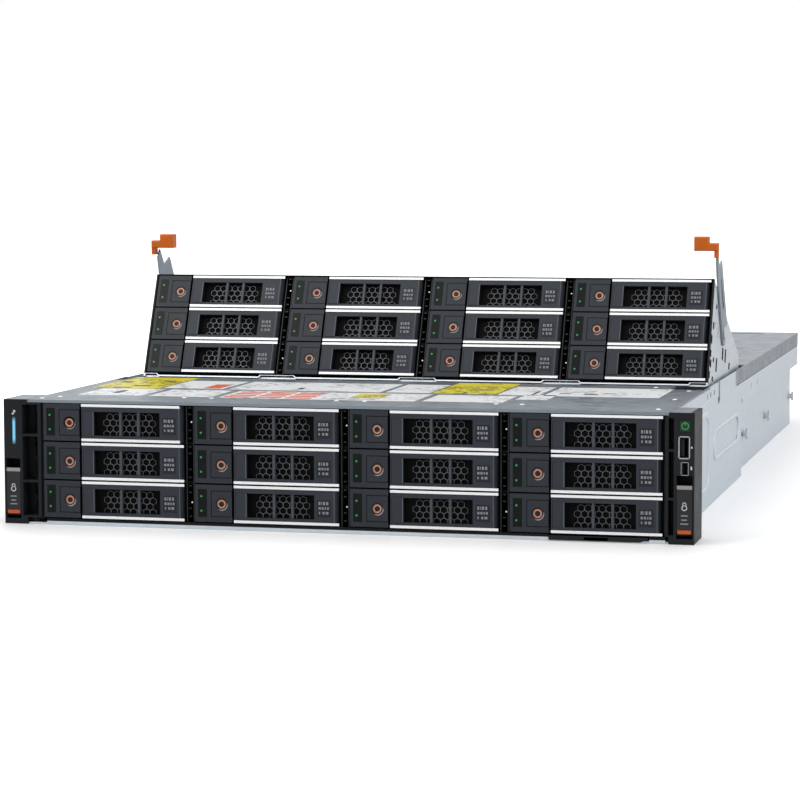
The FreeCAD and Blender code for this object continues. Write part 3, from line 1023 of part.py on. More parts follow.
def heat_sink(side):
    """Finned block on a processor socket; the air runs between the fins."""
    pitch = (SINK_WIDTH - FIN) / (FINS - 1)
    x0, z0 = side * SINK_SIDE - SINK_WIDTH / 2, BOARD_TOP + SOCKET_HEIGHT
    outline = [(x0, z0), (x0 + SINK_WIDTH, z0)]
    for i in reversed(range(FINS)):
        left = x0 + i * pitch
        outline += [(left + FIN, z0 + SINK_HEIGHT), (left, z0 + SINK_HEIGHT)]
        if i > 0:
            outline += [(left, z0 + SINK_BASE), (left - pitch + FIN, z0 + SINK_BASE)]
    start = BOARD_FRONT + SINK_START
    return along(outline, start, start + SINK_LENGTH)


def memory_modules():
    """Memory cards, each seated in its groove."""
    y0, z0 = BOARD_FRONT + DIMM_START, BOARD_TOP + DIMM_SEAT
    middles = [bank + i * DIMM_PITCH for bank in DIMM_BANKS for i in range(DIMMS_PER_BANK)]
    return [block(x - DIMM_THICK / 2, x + DIMM_THICK / 2, y0, y0 + DIMM_LENGTH, z0, z0 + DIMM_HEIGHT)
            for x in middles]


def air_shroud():
    """Hood over the heat sinks and memory, which keeps the fans' air between them."""
    side, inner, top = SHROUD_SIDE, SHROUD_SIDE - SHROUD_SHEET, SHROUD_TOP
    return along([(-side, BOARD_TOP), (-inner, BOARD_TOP), (-inner, top - SHROUD_SHEET), (inner, top - SHROUD_SHEET),
                  (inner, BOARD_TOP), (side, BOARD_TOP), (side, top), (-side, top)], SHROUD_START, SHROUD_END)


# ---- power supplies and expansion slots -------------------------------------------------------
def psu(side):
    """Power supply: case, mains inlet, fan grille, strap handle and release tab."""
    x0, x1 = sorted((side * PSU_SIDE, side * (PSU_SIDE + PSU_WIDTH)))
    z0, z1, rear = PSU_LOW, PSU_LOW + PSU_HEIGHT, PSU_REAR
    case = block(x0, x1, rear - PSU_LENGTH, rear, z0, z1)
    inlet = along(offsets(x0 + INLET_X, z0 + INLET_Z, INLET), rear - INLET_DEPTH, rear + CUT)
    blades = [block(x - BLADE_WIDTH / 2, x + BLADE_WIDTH / 2, rear - INLET_DEPTH - CUT, rear - INLET_DEPTH + BLADE_LENGTH,
                    z - BLADE_HEIGHT / 2, z + BLADE_HEIGHT / 2)
              for x, z in offsets(x0 + INLET_X, z0 + INLET_Z, INLET_BLADES)]
    grille = [block(x, x + GRILLE_WIDTH, rear - GRILLE_DEPTH, rear + CUT, z0 + GRILLE_EDGE, z1 - GRILLE_EDGE)
              for x in (x1 - GRILLE_RIGHT + i * GRILLE_PITCH for i in range(GRILLE_SLOTS))]
    tab = block(x1 - TAB_INSET - TAB_WIDTH, x1 - TAB_INSET, rear - CUT, rear + TAB_REACH, z0 + TAB_LOW, z0 + TAB_HIGH)
    return fused(cut(case, inlet, *grille), *blades, *psu_handle(x0 + HANDLE_X, z0, z1, rear), tab)


def psu_handle(x, z0, z1, rear):
    """Upright strap: two legs and the bar between them."""
    leg, bar, end = HANDLE_LEG / 2, HANDLE_BAR / 2, OVERALL_DEPTH
    low, high = z0 + HANDLE_EDGE, z1 - HANDLE_EDGE
    legs = [block(x - leg, x + leg, rear - CUT, end, z, z + HANDLE_LEG_HEIGHT)
            for z in (low, high - HANDLE_LEG_HEIGHT)]
    return legs + [block(x - bar, x + bar, end - HANDLE_BAR_DEPTH, end, low, high)]


def slot_cover(x0):
    """Blank cover of an expansion slot, with a folded tab under the lid."""
    y, z0, z1 = BODY_DEPTH - WALL, BOARD_TOP + SLOT_COVER_LOW, WALL_TOP - SLOT_COVER_TOP_GAP
    sheet = SLOT_COVER_SHEET
    bent = across([(y - sheet, z0), (y, z0), (y, z1), (y - SLOT_TAB, z1), (y - SLOT_TAB, z1 - sheet),
                   (y - sheet, z1 - sheet)], x0, x0 + SLOT_COVER_WIDTH)
    vents = [block(x0 + SLOT_VENT_EDGE, x0 + SLOT_COVER_WIDTH - SLOT_VENT_EDGE, y - sheet - CUT, y + CUT, low, high)
             for low, high in SLOT_VENTS]
    return cut(bent, *vents)


def slot_covers():
    margin = (SLOT_PITCH - SLOT_COVER_WIDTH) / 2
    return [slot_cover(SLOT_LEFT + i * SLOT_PITCH + margin) for i in range(SLOT_COUNT)]


# ---- write every piece --------------------------------------------------------------------
def main():
    os.makedirs("parts", exist_ok=True)
    make_drives()
    make_ears()
    save("chassis_tray", chassis_tray())
    save("chassis_studs", *chassis_studs())
    save("front_drive_cage", front_drive_cage())
    save("front_backplane", *front_backplane())
    save("info_tag", info_tag())
    save("front_cover", front_cover())
    save("rear_cover", rear_cover())
    save("cover_latch", cover_latch())
    save("mid_bay_cage", mid_bay_cage())
    save("mid_backplane", *mid_backplane())
    for name, side in (("left", -1), ("right", 1)):
        save("lift_arm_" + name, lift_arm(side))
        save("lift_grip_" + name, lift_grip(side))
        save("psu_" + name, psu(side))
    save("fan_frames", *[fan_frame(x, z) for x, z in fan_centres()])
    for number, (x, z) in enumerate(fan_centres(), 1):
        save("fan_rotor_%d" % number, fan_rotor(x, z))
    save("system_board", *system_board())
    save("heat_sinks", heat_sink(-1), heat_sink(1))
    save("memory_modules", *memory_modules())
    save("air_shroud", air_shroud())
    save("slot_covers", *slot_covers())


main()
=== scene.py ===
# %% [markdown]
# # A 2u rack server, dressed for the studio
# The CAD model gives every rigid part of this server: drives, cages, covers, ears, fans and boards.
# This lesson adds what the eye needs on top of it: painted and plated finishes, the perforated
# grilles behind the drive windows, lamps, copper rings, stickers, beads pressed into the side walls,
# and the light and camera of a plain studio.
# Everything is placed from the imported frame, so nothing has to be fitted by eye.

# %% Load the frame
import json
import math

import bmesh
import bpy
import numpy as np
from mathutils import Matrix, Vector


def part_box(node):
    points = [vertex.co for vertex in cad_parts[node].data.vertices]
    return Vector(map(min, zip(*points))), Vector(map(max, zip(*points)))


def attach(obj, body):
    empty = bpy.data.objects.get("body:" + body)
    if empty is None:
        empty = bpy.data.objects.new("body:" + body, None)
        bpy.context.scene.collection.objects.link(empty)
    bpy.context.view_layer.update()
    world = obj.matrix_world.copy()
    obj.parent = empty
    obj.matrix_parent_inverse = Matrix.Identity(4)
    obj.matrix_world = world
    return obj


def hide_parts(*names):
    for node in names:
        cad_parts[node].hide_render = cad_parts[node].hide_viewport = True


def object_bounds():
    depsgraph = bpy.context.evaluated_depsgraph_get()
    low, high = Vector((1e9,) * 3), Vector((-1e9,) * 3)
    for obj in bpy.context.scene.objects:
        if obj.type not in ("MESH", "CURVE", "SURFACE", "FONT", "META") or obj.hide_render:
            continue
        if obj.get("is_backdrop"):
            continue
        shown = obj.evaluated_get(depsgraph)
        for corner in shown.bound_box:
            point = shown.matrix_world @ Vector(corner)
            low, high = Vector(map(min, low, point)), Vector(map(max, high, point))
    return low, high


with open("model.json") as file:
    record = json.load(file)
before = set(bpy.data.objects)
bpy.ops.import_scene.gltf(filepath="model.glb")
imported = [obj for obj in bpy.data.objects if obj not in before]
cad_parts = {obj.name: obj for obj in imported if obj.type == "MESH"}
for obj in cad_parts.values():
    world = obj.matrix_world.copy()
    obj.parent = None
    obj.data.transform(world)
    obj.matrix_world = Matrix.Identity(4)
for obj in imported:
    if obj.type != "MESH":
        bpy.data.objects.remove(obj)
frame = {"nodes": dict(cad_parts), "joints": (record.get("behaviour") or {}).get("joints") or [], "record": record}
CAD_LOW, CAD_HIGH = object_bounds()
MM = 0.001
FRONT = CAD_LOW.y                       # the plane of the ear fronts
print("CAD box, mm:", [round((b - a) / MM, 1) for a, b in zip(CAD_LOW, CAD_HIGH)])

# %% [markdown]
# ## Two measuring frames
# A builder measures a server from its front lower edge. `row_frame` turns such millimetres into the
# frame's metres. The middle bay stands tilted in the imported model, so its parts are laid out level
# and then turned about the hinge that the record names. Reading the pivot from the joint, instead of
# typing it again, keeps looks and mechanics together when the CAD changes.

# %% Places on the body and on the tilted bay
joint = {j["name"]: j for j in frame["joints"]}
TILT = -math.radians(joint["mid_bay_tilt"]["range_deg"][0])
PIVOT = np.array(joint["mid_bay_tilt"]["pos_m"])


def row_frame(points):
    """Millimetres from the middle of the front lower edge -> metres in the frame."""
    return np.asarray(points, float) * MM + np.array([0.0, FRONT, 0.0])


def about_hinge(points, angle):
    """Rotation about the bay's hinge: y and z from the pivot mix by cos and sin of the angle."""
    p = np.asarray(points, float) - PIVOT
    c, s = math.cos(angle), math.sin(angle)
    turned = np.stack([p[..., 0], p[..., 1] * c + p[..., 2] * s, -p[..., 1] * s + p[..., 2] * c], -1)
    return turned + PIVOT


def bay_frame(points):
    """Millimetres on the level bay -> metres on the raised bay."""
    return about_hinge(row_frame(points), TILT)


def vertices(node):
    """A CAD node's corners as an (n, 3) array."""
    mesh = frame["nodes"][node].data
    flat = np.empty(len(mesh.vertices) * 3, np.float32)
    mesh.vertices.foreach_get("co", flat)
    return flat.reshape(-1, 3).astype(float)


print("bay tilt, degrees:", round(math.degrees(TILT), 1), "pivot, m:", PIVOT)

# %% [markdown]
# ## Where each drive's face is
# All 24 carriers are one part repeated. Its bezel is 102.4 mm wide and 25.7 mm high, so the middle of a
# drive's box gives its lower left corner. A mid drive is turned level first, because a box only
# fits a part that stands square.

# %% The 24 drive faces
BEZEL_WIDTH, BEZEL_HEIGHT, TRIM_PROUD = 102.4, 25.7, 0.5
DRIVES = [f"{place}_{number:02d}" for place in ("front", "mid") for number in range(1, 13)]


def level_box(drive):
    """Lowest and highest corner of a drive with the bay laid level."""
    points = vertices("drive_" + drive)
    if drive.startswith("mid"):
        points = about_hinge(points, -TILT)
    return points.min(0), points.max(0)


FACE = {"front": level_box("front_01")[0][1], "mid": level_box("mid_01")[0][1] + TRIM_PROUD * MM}


def face_corner(drive):
    """Lower left corner of a bezel's face, level, in metres."""
    low, high = level_box(drive)
    middle = (low + high) / 2
    return np.array([middle[0] - BEZEL_WIDTH * MM / 2, FACE[drive.split("_")[0]],
                     middle[2] - BEZEL_HEIGHT * MM / 2])


CORNER = {d: face_corner(d) for d in DRIVES}


def drive_frame(drive):
    """Millimetres on a bezel (right, behind the face, up) -> metres in the frame."""
    corner = CORNER[drive]

    def place(points):
        spot = np.asarray(points, float) * MM + corner
        return about_hinge(spot, TILT) if drive.startswith("mid") else spot
    return place


print("first face corners, m:", CORNER["front_01"].round(4), CORNER["mid_01"].round(4))

# %% [markdown]
# ## Making surfaces
# A mesh is a list of points and a list of faces. Four helpers are enough here: many small blocks in
# one mesh, a skin over a grid of points, a profile turned about an axis, and a profile carried along a path.
# The points come out of array formulas, which is quick and can be checked line by line.

# %% Mesh helpers
BLOCK_CORNERS = np.array([[x, y, z] for x in (0, 1) for y in (0, 1) for z in (0, 1)])
BLOCK_FACES = np.array([[0, 1, 3, 2], [4, 6, 7, 5], [0, 4, 5, 1], [2, 3, 7, 6], [0, 2, 6, 4], [1, 5, 7, 3]])
made = {}


def mesh_piece(name, points, faces, material, body, smooth=False, slot=None):
    """A new object from points and faces, with its normals turned outwards."""
    mesh = bpy.data.meshes.new(name)
    mesh.from_pydata(np.asarray(points).tolist(), [], np.asarray(faces).tolist())
    shell = bmesh.new()
    shell.from_mesh(mesh)
    bmesh.ops.remove_doubles(shell, verts=shell.verts, dist=1e-7)
    bmesh.ops.recalc_face_normals(shell, faces=shell.faces)
    shell.to_mesh(mesh)
    shell.free()
    mesh.polygons.foreach_set("use_smooth", np.full(len(mesh.polygons), smooth))
    mesh.materials.append(material)
    piece = bpy.data.objects.new(name, mesh)
    bpy.context.scene.collection.objects.link(piece)
    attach(piece, body)
    made[name] = len(mesh.polygons)
    return piece


def blocks(name, lows, highs, place, material, body, **more):
    """Many blocks at once: corner = low + (high - low) * (0 or 1) along each axis."""
    lows, highs = np.atleast_2d(lows).astype(float), np.atleast_2d(highs).astype(float)
    corners = lows[:, None] + (highs - lows)[:, None] * BLOCK_CORNERS
    faces = BLOCK_FACES + 8 * np.arange(len(lows))[:, None, None]
    return mesh_piece(name, place(corners.reshape(-1, 3)), faces.reshape(-1, 4), material, body, **more)


def skin(rows, columns, closed_rows=False):
    """Quads over a rows x columns grid: each joins point (i, j) to its next ones. A row closes on itself."""
    i, j = np.meshgrid(np.arange(rows - (not closed_rows)), np.arange(columns), indexing="ij")
    i1, j1 = (i + 1) % rows, (j + 1) % columns
    return np.stack([i * columns + j, i * columns + j1, i1 * columns + j1, i1 * columns + j], -1).reshape(-1, 4)


def lathe(centres, profile, sides, around=(0, 2)):
    """Rings about each centre: point = centre + radius * (cos a, sin a) across, + depth along the axis."""
    centres, profile = np.atleast_2d(centres).astype(float), np.asarray(profile, float)
    a = np.arange(sides) * 2 * math.pi / sides
    ring = np.zeros((len(profile), sides, 3))
    ring[..., around[0]] = profile[:, :1] * np.cos(a)
    ring[..., around[1]] = profile[:, :1] * np.sin(a)
    ring[..., 3 - sum(around)] = profile[:, 1:]
    points = (centres[:, None, None] + ring).reshape(-1, 3)
    faces = skin(len(profile), sides, closed_rows=True)
    return points, (faces + len(profile) * sides * np.arange(len(centres))[:, None, None]).reshape(-1, 4)


def carried(path, profile, out_axis):
    """A profile carried along a path: point = path point + u * across direction + v * out axis.
    The across direction is the path's own direction turned a quarter about the out axis."""
    path, profile, out = np.asarray(path, float), np.asarray(profile, float), np.asarray(out_axis, float)
    along = np.gradient(path, axis=0)
    along /= np.linalg.norm(along, axis=1)[:, None]
    across = np.cross(out, along)
    points = path[:, None] + profile[None, :, :1] * across[:, None] + profile[None, :, 1:] * out
    return points.reshape(-1, 3), skin(len(path), len(profile))


print("a block has", len(BLOCK_CORNERS), "corners and", len(BLOCK_FACES), "faces")

# %% [markdown]
# ## Small words for shader nodes
# A material is a graph of nodes, and most of its lines would only add nodes and join sockets. These
# helpers give the common nodes short names, so that a finish below reads almost like its formula.
# Each one takes numbers or sockets alike, and returns the socket that holds its result.

# %% Node helpers
def group(name, inputs, outputs):
    """An empty shader group with named sockets: 'v' vector, 'f' number, 'c' colour."""
    kinds = {"v": "NodeSocketVector", "f": "NodeSocketFloat", "c": "NodeSocketColor"}
    tree = bpy.data.node_groups.new(name, "ShaderNodeTree")
    for socket, kind in inputs:
        tree.interface.new_socket(socket, in_out="INPUT", socket_type=kinds[kind])
    for socket, kind in outputs:
        tree.interface.new_socket(socket, in_out="OUTPUT", socket_type=kinds[kind])
    return tree, tree.nodes.new("NodeGroupInput").outputs, tree.nodes.new("NodeGroupOutput").inputs


def put(tree, kind, values=None, **settings):
    """A node with its settings; values go to inputs by place or name, and may be sockets."""
    node = tree.nodes.new(kind)
    for key, value in settings.items():
        setattr(node, key, value)
    for key, value in (values or {}).items():
        if isinstance(value, bpy.types.NodeSocket):
            tree.links.new(value, node.inputs[key])
        else:
            node.inputs[key].default_value = value
    return node


def maths(tree, operation, a, b=0.0, c=0.0):
    """One operation on up to three numbers; MULTIPLY_ADD is a * b + c."""
    return put(tree, "ShaderNodeMath", {0: a, 1: b, 2: c}, operation=operation).outputs[0]


def on_vectors(tree, operation, *vectors):
    """One operation on up to three vectors; a length or a dot product comes out as a number."""
    node = put(tree, "ShaderNodeVectorMath", dict(enumerate(vectors)), operation=operation)
    return node.outputs["Value" if operation in ("LENGTH", "DOT_PRODUCT") else "Vector"]


def apart(tree, vector):
    """The x, y and z of a vector."""
    return put(tree, "ShaderNodeSeparateXYZ", {0: vector}).outputs


def blend(tree, share, first, second):
    """Colour between two: share 0 gives the first."""
    return put(tree, "ShaderNodeMix", {0: share, 6: first, 7: second}, data_type="RGBA").outputs[2]


def scaled(tree, colour, tone):
    """Colour times a tone: each channel of one is multiplied by the other."""
    return put(tree, "ShaderNodeMix", {0: 1.0, 6: colour, 7: tone}, data_type="RGBA",
               blend_type="MULTIPLY").outputs[2]


def rgb(red, green, blue):
    """A screen colour of 0 to 255 as a linear one, by the standard curve of screens."""
    c = np.array([red, green, blue]) / 255
    return (*np.where(c <= 0.04045, c / 12.92, ((c + 0.055) / 1.055) ** 2.4), 1.0)


def noise(tree, vector, scale, detail=3.0, rough=0.5):
    """A smooth random value between 0 and 1, with about `scale` waves in a metre."""
    return put(tree, "ShaderNodeTexNoise", {"Vector": vector, "Scale": scale, "Detail": detail,
                                            "Roughness": rough}).outputs[0]


def fade(tree, value, start, end):
    """0 up to the start, 1 from the end on, and straight between."""
    return put(tree, "ShaderNodeMapRange", {"Value": value, "From Min": start, "From Max": end}).outputs[0]


def region(tree, spot, **limits):
    """1 inside a box, else 0: the product of one mask for each axis that has limits, as x=(low, high)."""
    inside = 1.0
    for axis, (low, high) in limits.items():
        mask = maths(tree, "COMPARE", spot["xyz".index(axis)], (low + high) / 2, (high - low) / 2)
        inside = maths(tree, "MULTIPLY", inside, mask)
    return inside


print("a screen grey of 128 is", round(float(rgb(128, 128, 128)[0]), 3), "in linear light")

# %% [markdown]
# ## Finishes shared by several materials
# Real surfaces are never one flat colour. Hot zinc freezes into flat crystals, each a slightly different
# grey, so a cell noise gives its tone and gloss. Moulded plastic has fine pits from its tool and soft
# marks from hands: one fine noise and one coarse. Each effect is a node group with named sockets, and a
# material only chooses its own values. The groups read Object coordinates, so a pattern keeps its
# real size and stays on the part when it moves.

# %% The shared effects
def spangle_group():
    """Zinc: tone = 1 + strength * (0.7 cells + 0.4 clouds), both about zero; gloss follows the cells."""
    tree, given, result = group("Zinc spangle", [("Vector", "v"), ("Size", "f"), ("Strength", "f")],
                                [("Tone", "f"), ("Roughness", "f"), ("Height", "f")])
    cells = put(tree, "ShaderNodeTexVoronoi", {"Vector": given["Vector"], "Scale": given["Size"]}, feature="F1")
    grey = put(tree, "ShaderNodeSeparateColor", {0: cells.outputs["Color"]}).outputs[0]
    clouds = noise(tree, given["Vector"], 9.0, 1.0)
    mixed = maths(tree, "ADD", maths(tree, "MULTIPLY", maths(tree, "SUBTRACT", grey, 0.5), 0.7),
                  maths(tree, "MULTIPLY", maths(tree, "SUBTRACT", clouds, 0.5), 0.4))
    tree.links.new(maths(tree, "MULTIPLY_ADD", mixed, given["Strength"], 1.0), result["Tone"])
    tree.links.new(maths(tree, "MULTIPLY_ADD", grey, 0.16, 0.34), result["Roughness"])
    tree.links.new(noise(tree, given["Vector"], 900.0), result["Height"])
    return tree


def grain_group():
    """Plastic: height is a fine noise, and a coarse one about zero shifts tone and roughness."""
    tree, given, result = group("Moulded grain", [("Vector", "v"), ("Size", "f"), ("Smudge", "f")],
                                [("Tone", "f"), ("Roughness", "f"), ("Height", "f")])
    marks = maths(tree, "SUBTRACT", noise(tree, given["Vector"], 60.0, 4.0, 0.6), 0.5)
    tree.links.new(maths(tree, "MULTIPLY_ADD", marks, 0.3, 1.0), result["Tone"])
    tree.links.new(maths(tree, "MULTIPLY", marks, given["Smudge"]), result["Roughness"])
    tree.links.new(noise(tree, given["Vector"], given["Size"], 2.0), result["Height"])
    return tree


ZINC, GRAIN = spangle_group(), grain_group()
print("shared effects:", [g.name for g in bpy.data.node_groups])

# %% [markdown]
# ## Material builders
# `sheet_metal` is zinc over steel: metallic, with spangle and a low bump. `plastic` is a dielectric with
# a moulded grain. The plain values sit on the shader's own sockets, and only what changes over
# the surface is wired to them.

# %% Material builders
def base(name):
    """A new material, with its nodes, its shader and the Object coordinates."""
    material = bpy.data.materials.new(name)
    material.use_nodes = True
    tree = material.node_tree
    return material, tree, tree.nodes["Principled BSDF"], put(tree, "ShaderNodeTexCoord").outputs["Object"]


def relief(tree, shader, height, depth, strength):
    """A bump: the normal leans with the slope of height * depth."""
    bump = put(tree, "ShaderNodeBump", {"Height": height, "Distance": depth, "Strength": strength})
    tree.links.new(bump.outputs[0], shader.inputs["Normal"])


def zinc_on(tree, where, size, strength):
    """The zinc effect with its own size and strength of spangle."""
    return put(tree, "ShaderNodeGroup", {"Vector": where, "Size": size, "Strength": strength},
               node_tree=ZINC).outputs


def grain_on(tree, where, size, smudge):
    """The moulded grain with its own fineness and marks."""
    return put(tree, "ShaderNodeGroup", {"Vector": where, "Size": size, "Smudge": smudge},
               node_tree=GRAIN).outputs


def sheet_metal(name, colour, size, strength, metallic=0.85):
    """Galvanised sheet: spangle tone, spangle roughness and a fine bump."""
    material, tree, shader, where = base(name)
    zinc = zinc_on(tree, where, size, strength)
    tree.links.new(scaled(tree, colour, zinc["Tone"]), shader.inputs["Base Color"])
    tree.links.new(zinc["Roughness"], shader.inputs["Roughness"])
    shader.inputs["Metallic"].default_value = metallic
    relief(tree, shader, zinc["Height"], 0.00002, 0.3)
    return material


def plastic(name, colour, roughness=0.4, grain=1500.0, smudge=0.25, coat=0.0, shine=0.3):
    """Moulded plastic: grain for the bump, soft marks for tone and roughness."""
    material, tree, shader, where = base(name)
    moulded = grain_on(tree, where, grain, smudge)
    tree.links.new(scaled(tree, colour, moulded["Tone"]), shader.inputs["Base Color"])
    tree.links.new(maths(tree, "ADD", moulded["Roughness"], roughness), shader.inputs["Roughness"])
    shader.inputs["Coat Weight"].default_value = coat
    shader.inputs["Specular IOR Level"].default_value = shine
    relief(tree, shader, moulded["Height"], 0.00005, 0.4)
    return material


def lamp(name, colour, strength, dark):
    """A lit lens: dark plastic with light of its own, a little uneven."""
    material, tree, shader, where = base(name)
    glow = maths(tree, "MULTIPLY_ADD", noise(tree, where, 500.0), 0.3, 0.85)
    tree.links.new(scaled(tree, colour, glow), shader.inputs["Emission Color"])
    shader.inputs["Emission Strength"].default_value = strength
    shader.inputs["Base Color"].default_value = dark
    shader.inputs["Roughness"].default_value = 0.3
    return material


def lit_bar(name, low, high):
    """A light behind a strip: pale along its middle, blue at its sides and dim at its ends."""
    material, tree, shader, where = base(name)
    offset = on_vectors(tree, "SUBTRACT", where, tuple((low + high) / 2))
    across, _, along = apart(tree, on_vectors(tree, "ABSOLUTE", offset))
    half, tall = (high.x - low.x) / 2, (high.z - low.z) / 2
    colour = blend(tree, fade(tree, across, half, half * 0.2), rgb(8, 70, 112), rgb(132, 214, 240))
    shader.inputs["Base Color"].default_value = rgb(6, 34, 52)
    tree.links.new(colour, shader.inputs["Emission Color"])
    tree.links.new(fade(tree, along, tall, tall * 0.6), shader.inputs["Emission Strength"])
    return material


# %% [markdown]
# ## The drive finish
# A carrier is one moulding in several finishes: blue-grey plastic, two bright trims along the
# handle, grey steel rails and the cast disk. Painted shade turns the throat behind the window, the faces
# more than a few millimetres deep and the dish round the button dark, and a painted highlight lies on
# the dish's lower right rim. The model keeps them in one part, so the finish looks at where a point is
# on its own bezel, in millimetres to the right, behind the face and up. Later layers of paint cover
# earlier ones, as on a real part.

# %% The carrier's paint
RING_X, RING_Z = 19.0, 12.5                             # middle of the round button on the bezel
# The near-black tone paints the gaps round the button and beside the window, and painted shade in the throat, on
# deep faces and in the dish; the trims' tone also paints the dish's highlight.
MODULE_TONE, HANDLE_TONE, GAP_AND_SHADE_TONE = rgb(38, 43, 50), rgb(43, 48, 56), rgb(3, 3, 4)
TRIM_AND_HIGHLIGHT_TONE, RAIL_TONE, DISK_TONE = rgb(250, 251, 252), rgb(70, 73, 78), rgb(176, 180, 184)


def paint_group():
    """Layers of paint by place on the bezel, with painted shade in the throat, on deep faces and in the dish round
    the button, and a painted highlight on the dish's lower right rim; the dish fades out over its radius.
    """
    tree, given, result = group("Drive paint", [("Bezel", "v"), ("Tone", "f")],
                                [("Color", "c"), ("Metallic", "f"), ("Roughness", "f"), ("Height", "f")])
    spot = apart(tree, given["Bezel"])
    trim_rows = maths(tree, "MAXIMUM", region(tree, spot, z=(-0.5, 1.82)), region(tree, spot, z=(23.88, 26.2)))
    trim = maths(tree, "MULTIPLY", trim_rows, region(tree, spot, x=(27.5, 104.0), y=(-2.0, -0.02)))
    # painted shade: the throat behind the window goes black
    throat_shade = region(tree, spot, x=(27.8, 101.0), y=(3.0, 15.5))
    rail = region(tree, spot, y=(12.05, 400.0))
    disk = region(tree, spot, x=(0.38, 102.02), y=(15.9, 163.4))
    button_line = maths(tree, "SUBTRACT", region(tree, spot, x=(11.2, 27.0), z=(3.4, 21.9)),
                        region(tree, spot, x=(11.95, 26.25), z=(4.15, 21.15)))
    window_line = region(tree, spot, x=(28.9, 29.5), z=(3.4, 21.0))
    from_button = on_vectors(tree, "MULTIPLY_ADD", given["Bezel"], (1.0, 0.0, 1.0), (-RING_X, 0.0, -RING_Z))
    reach = on_vectors(tree, "LENGTH", from_button)
    # painted shade inside the dish round the button; the same mask sinks the bump
    shaded_dish = fade(tree, reach, 4.5, 4.2)
    # painted highlight on the dish's lower right rim
    lower_right = fade(tree, on_vectors(tree, "DOT_PRODUCT", from_button, (0.6, 0.0, -0.8)), 1.2, 3.6)
    glint = maths(tree, "MULTIPLY", maths(tree, "COMPARE", reach, 4.1, 0.35), lower_right)
    # painted shade: faces from 0.7 mm behind the face darken, and are black from 3.4 mm
    deep = fade(tree, spot[1], 0.7, 3.4)
    paint = MODULE_TONE
    for mask, share, tone in ((region(tree, spot, x=(27.3, 104.0)), 1.0, HANDLE_TONE), (shaded_dish, 0.8, GAP_AND_SHADE_TONE),
                              (glint, 0.35, TRIM_AND_HIGHLIGHT_TONE), (window_line, 0.8, GAP_AND_SHADE_TONE),
                              (button_line, 0.85, GAP_AND_SHADE_TONE),
                              (maths(tree, "MAXIMUM", throat_shade, deep), 1.0, GAP_AND_SHADE_TONE),
                              (rail, 1.0, RAIL_TONE), (disk, 1.0, DISK_TONE), (trim, 1.0, TRIM_AND_HIGHLIGHT_TONE)):
        paint = blend(tree, maths(tree, "MULTIPLY", mask, share), paint, tone)
    metal = maths(tree, "MAXIMUM", maths(tree, "MULTIPLY", trim, 0.3), maths(tree, "MAXIMUM", disk, rail))
    tree.links.new(scaled(tree, paint, given["Tone"]), result["Color"])
    tree.links.new(metal, result["Metallic"])
    tree.links.new(maths(tree, "MULTIPLY_ADD", metal, -0.16, 0.46), result["Roughness"])
    tree.links.new(maths(tree, "MULTIPLY", maths(tree, "ADD", shaded_dish, button_line), -1.0), result["Height"])
    return tree


PAINT = paint_group()
print("drive paint nodes:", len(PAINT.nodes))

# %% [markdown]
# ## One finish for a whole bay
# Twelve drives share one material. Subtracting the grid's first corner and taking the remainder by the
# pitch brings every drive of a grid onto the first bezel. The tilted bay is turned level first. A margin
# of 2 mm keeps the edges of a bezel away from the place where the remainder starts again.

# %% Drive finish
COLUMN_PITCH, ROW_PITCH, MARGIN = 109.9, 26.8, 2.0


def level_spot(tree, where, place, margin=0.0):
    """Metres from the corner of the bay's first bezel: level spot = rotation of the spot + shift.
    The first bezel is number 9, the lowest of the left column."""
    angle = TILT if place == "mid" else 0.0
    shift = about_hinge(np.zeros(3), -angle) - CORNER[place + "_09"] + margin * MM
    return put(tree, "ShaderNodeMapping", {"Vector": where, "Location": tuple(shift),
                                           "Rotation": (angle, 0.0, 0.0)}).outputs[0]


def drive_finish(place):
    """The carrier's paint with the grid of one bay folded onto its first bezel."""
    material, tree, shader, where = base("drive_" + place)
    folded = on_vectors(tree, "MODULO", level_spot(tree, where, place, MARGIN),
                        (COLUMN_PITCH * MM, 10.0, ROW_PITCH * MM))
    bezel = on_vectors(tree, "MULTIPLY_ADD", folded, (1 / MM,) * 3, (-MARGIN,) * 3)
    moulded = grain_on(tree, where, 1600.0, 0.2)
    carrier = put(tree, "ShaderNodeGroup", {"Bezel": bezel, "Tone": moulded["Tone"]}, node_tree=PAINT).outputs
    tree.links.new(carrier["Color"], shader.inputs["Base Color"])
    tree.links.new(carrier["Metallic"], shader.inputs["Metallic"])
    tree.links.new(maths(tree, "ADD", carrier["Roughness"], moulded["Roughness"]), shader.inputs["Roughness"])
    shader.inputs["Specular IOR Level"].default_value = 0.3
    height = maths(tree, "MULTIPLY_ADD", carrier["Height"], 8.0, moulded["Height"])
    relief(tree, shader, height, 0.00005, 0.5)
    return material


DRIVE = {place: drive_finish(place) for place in ("front", "mid")}
print("drive finishes:", list(DRIVE))
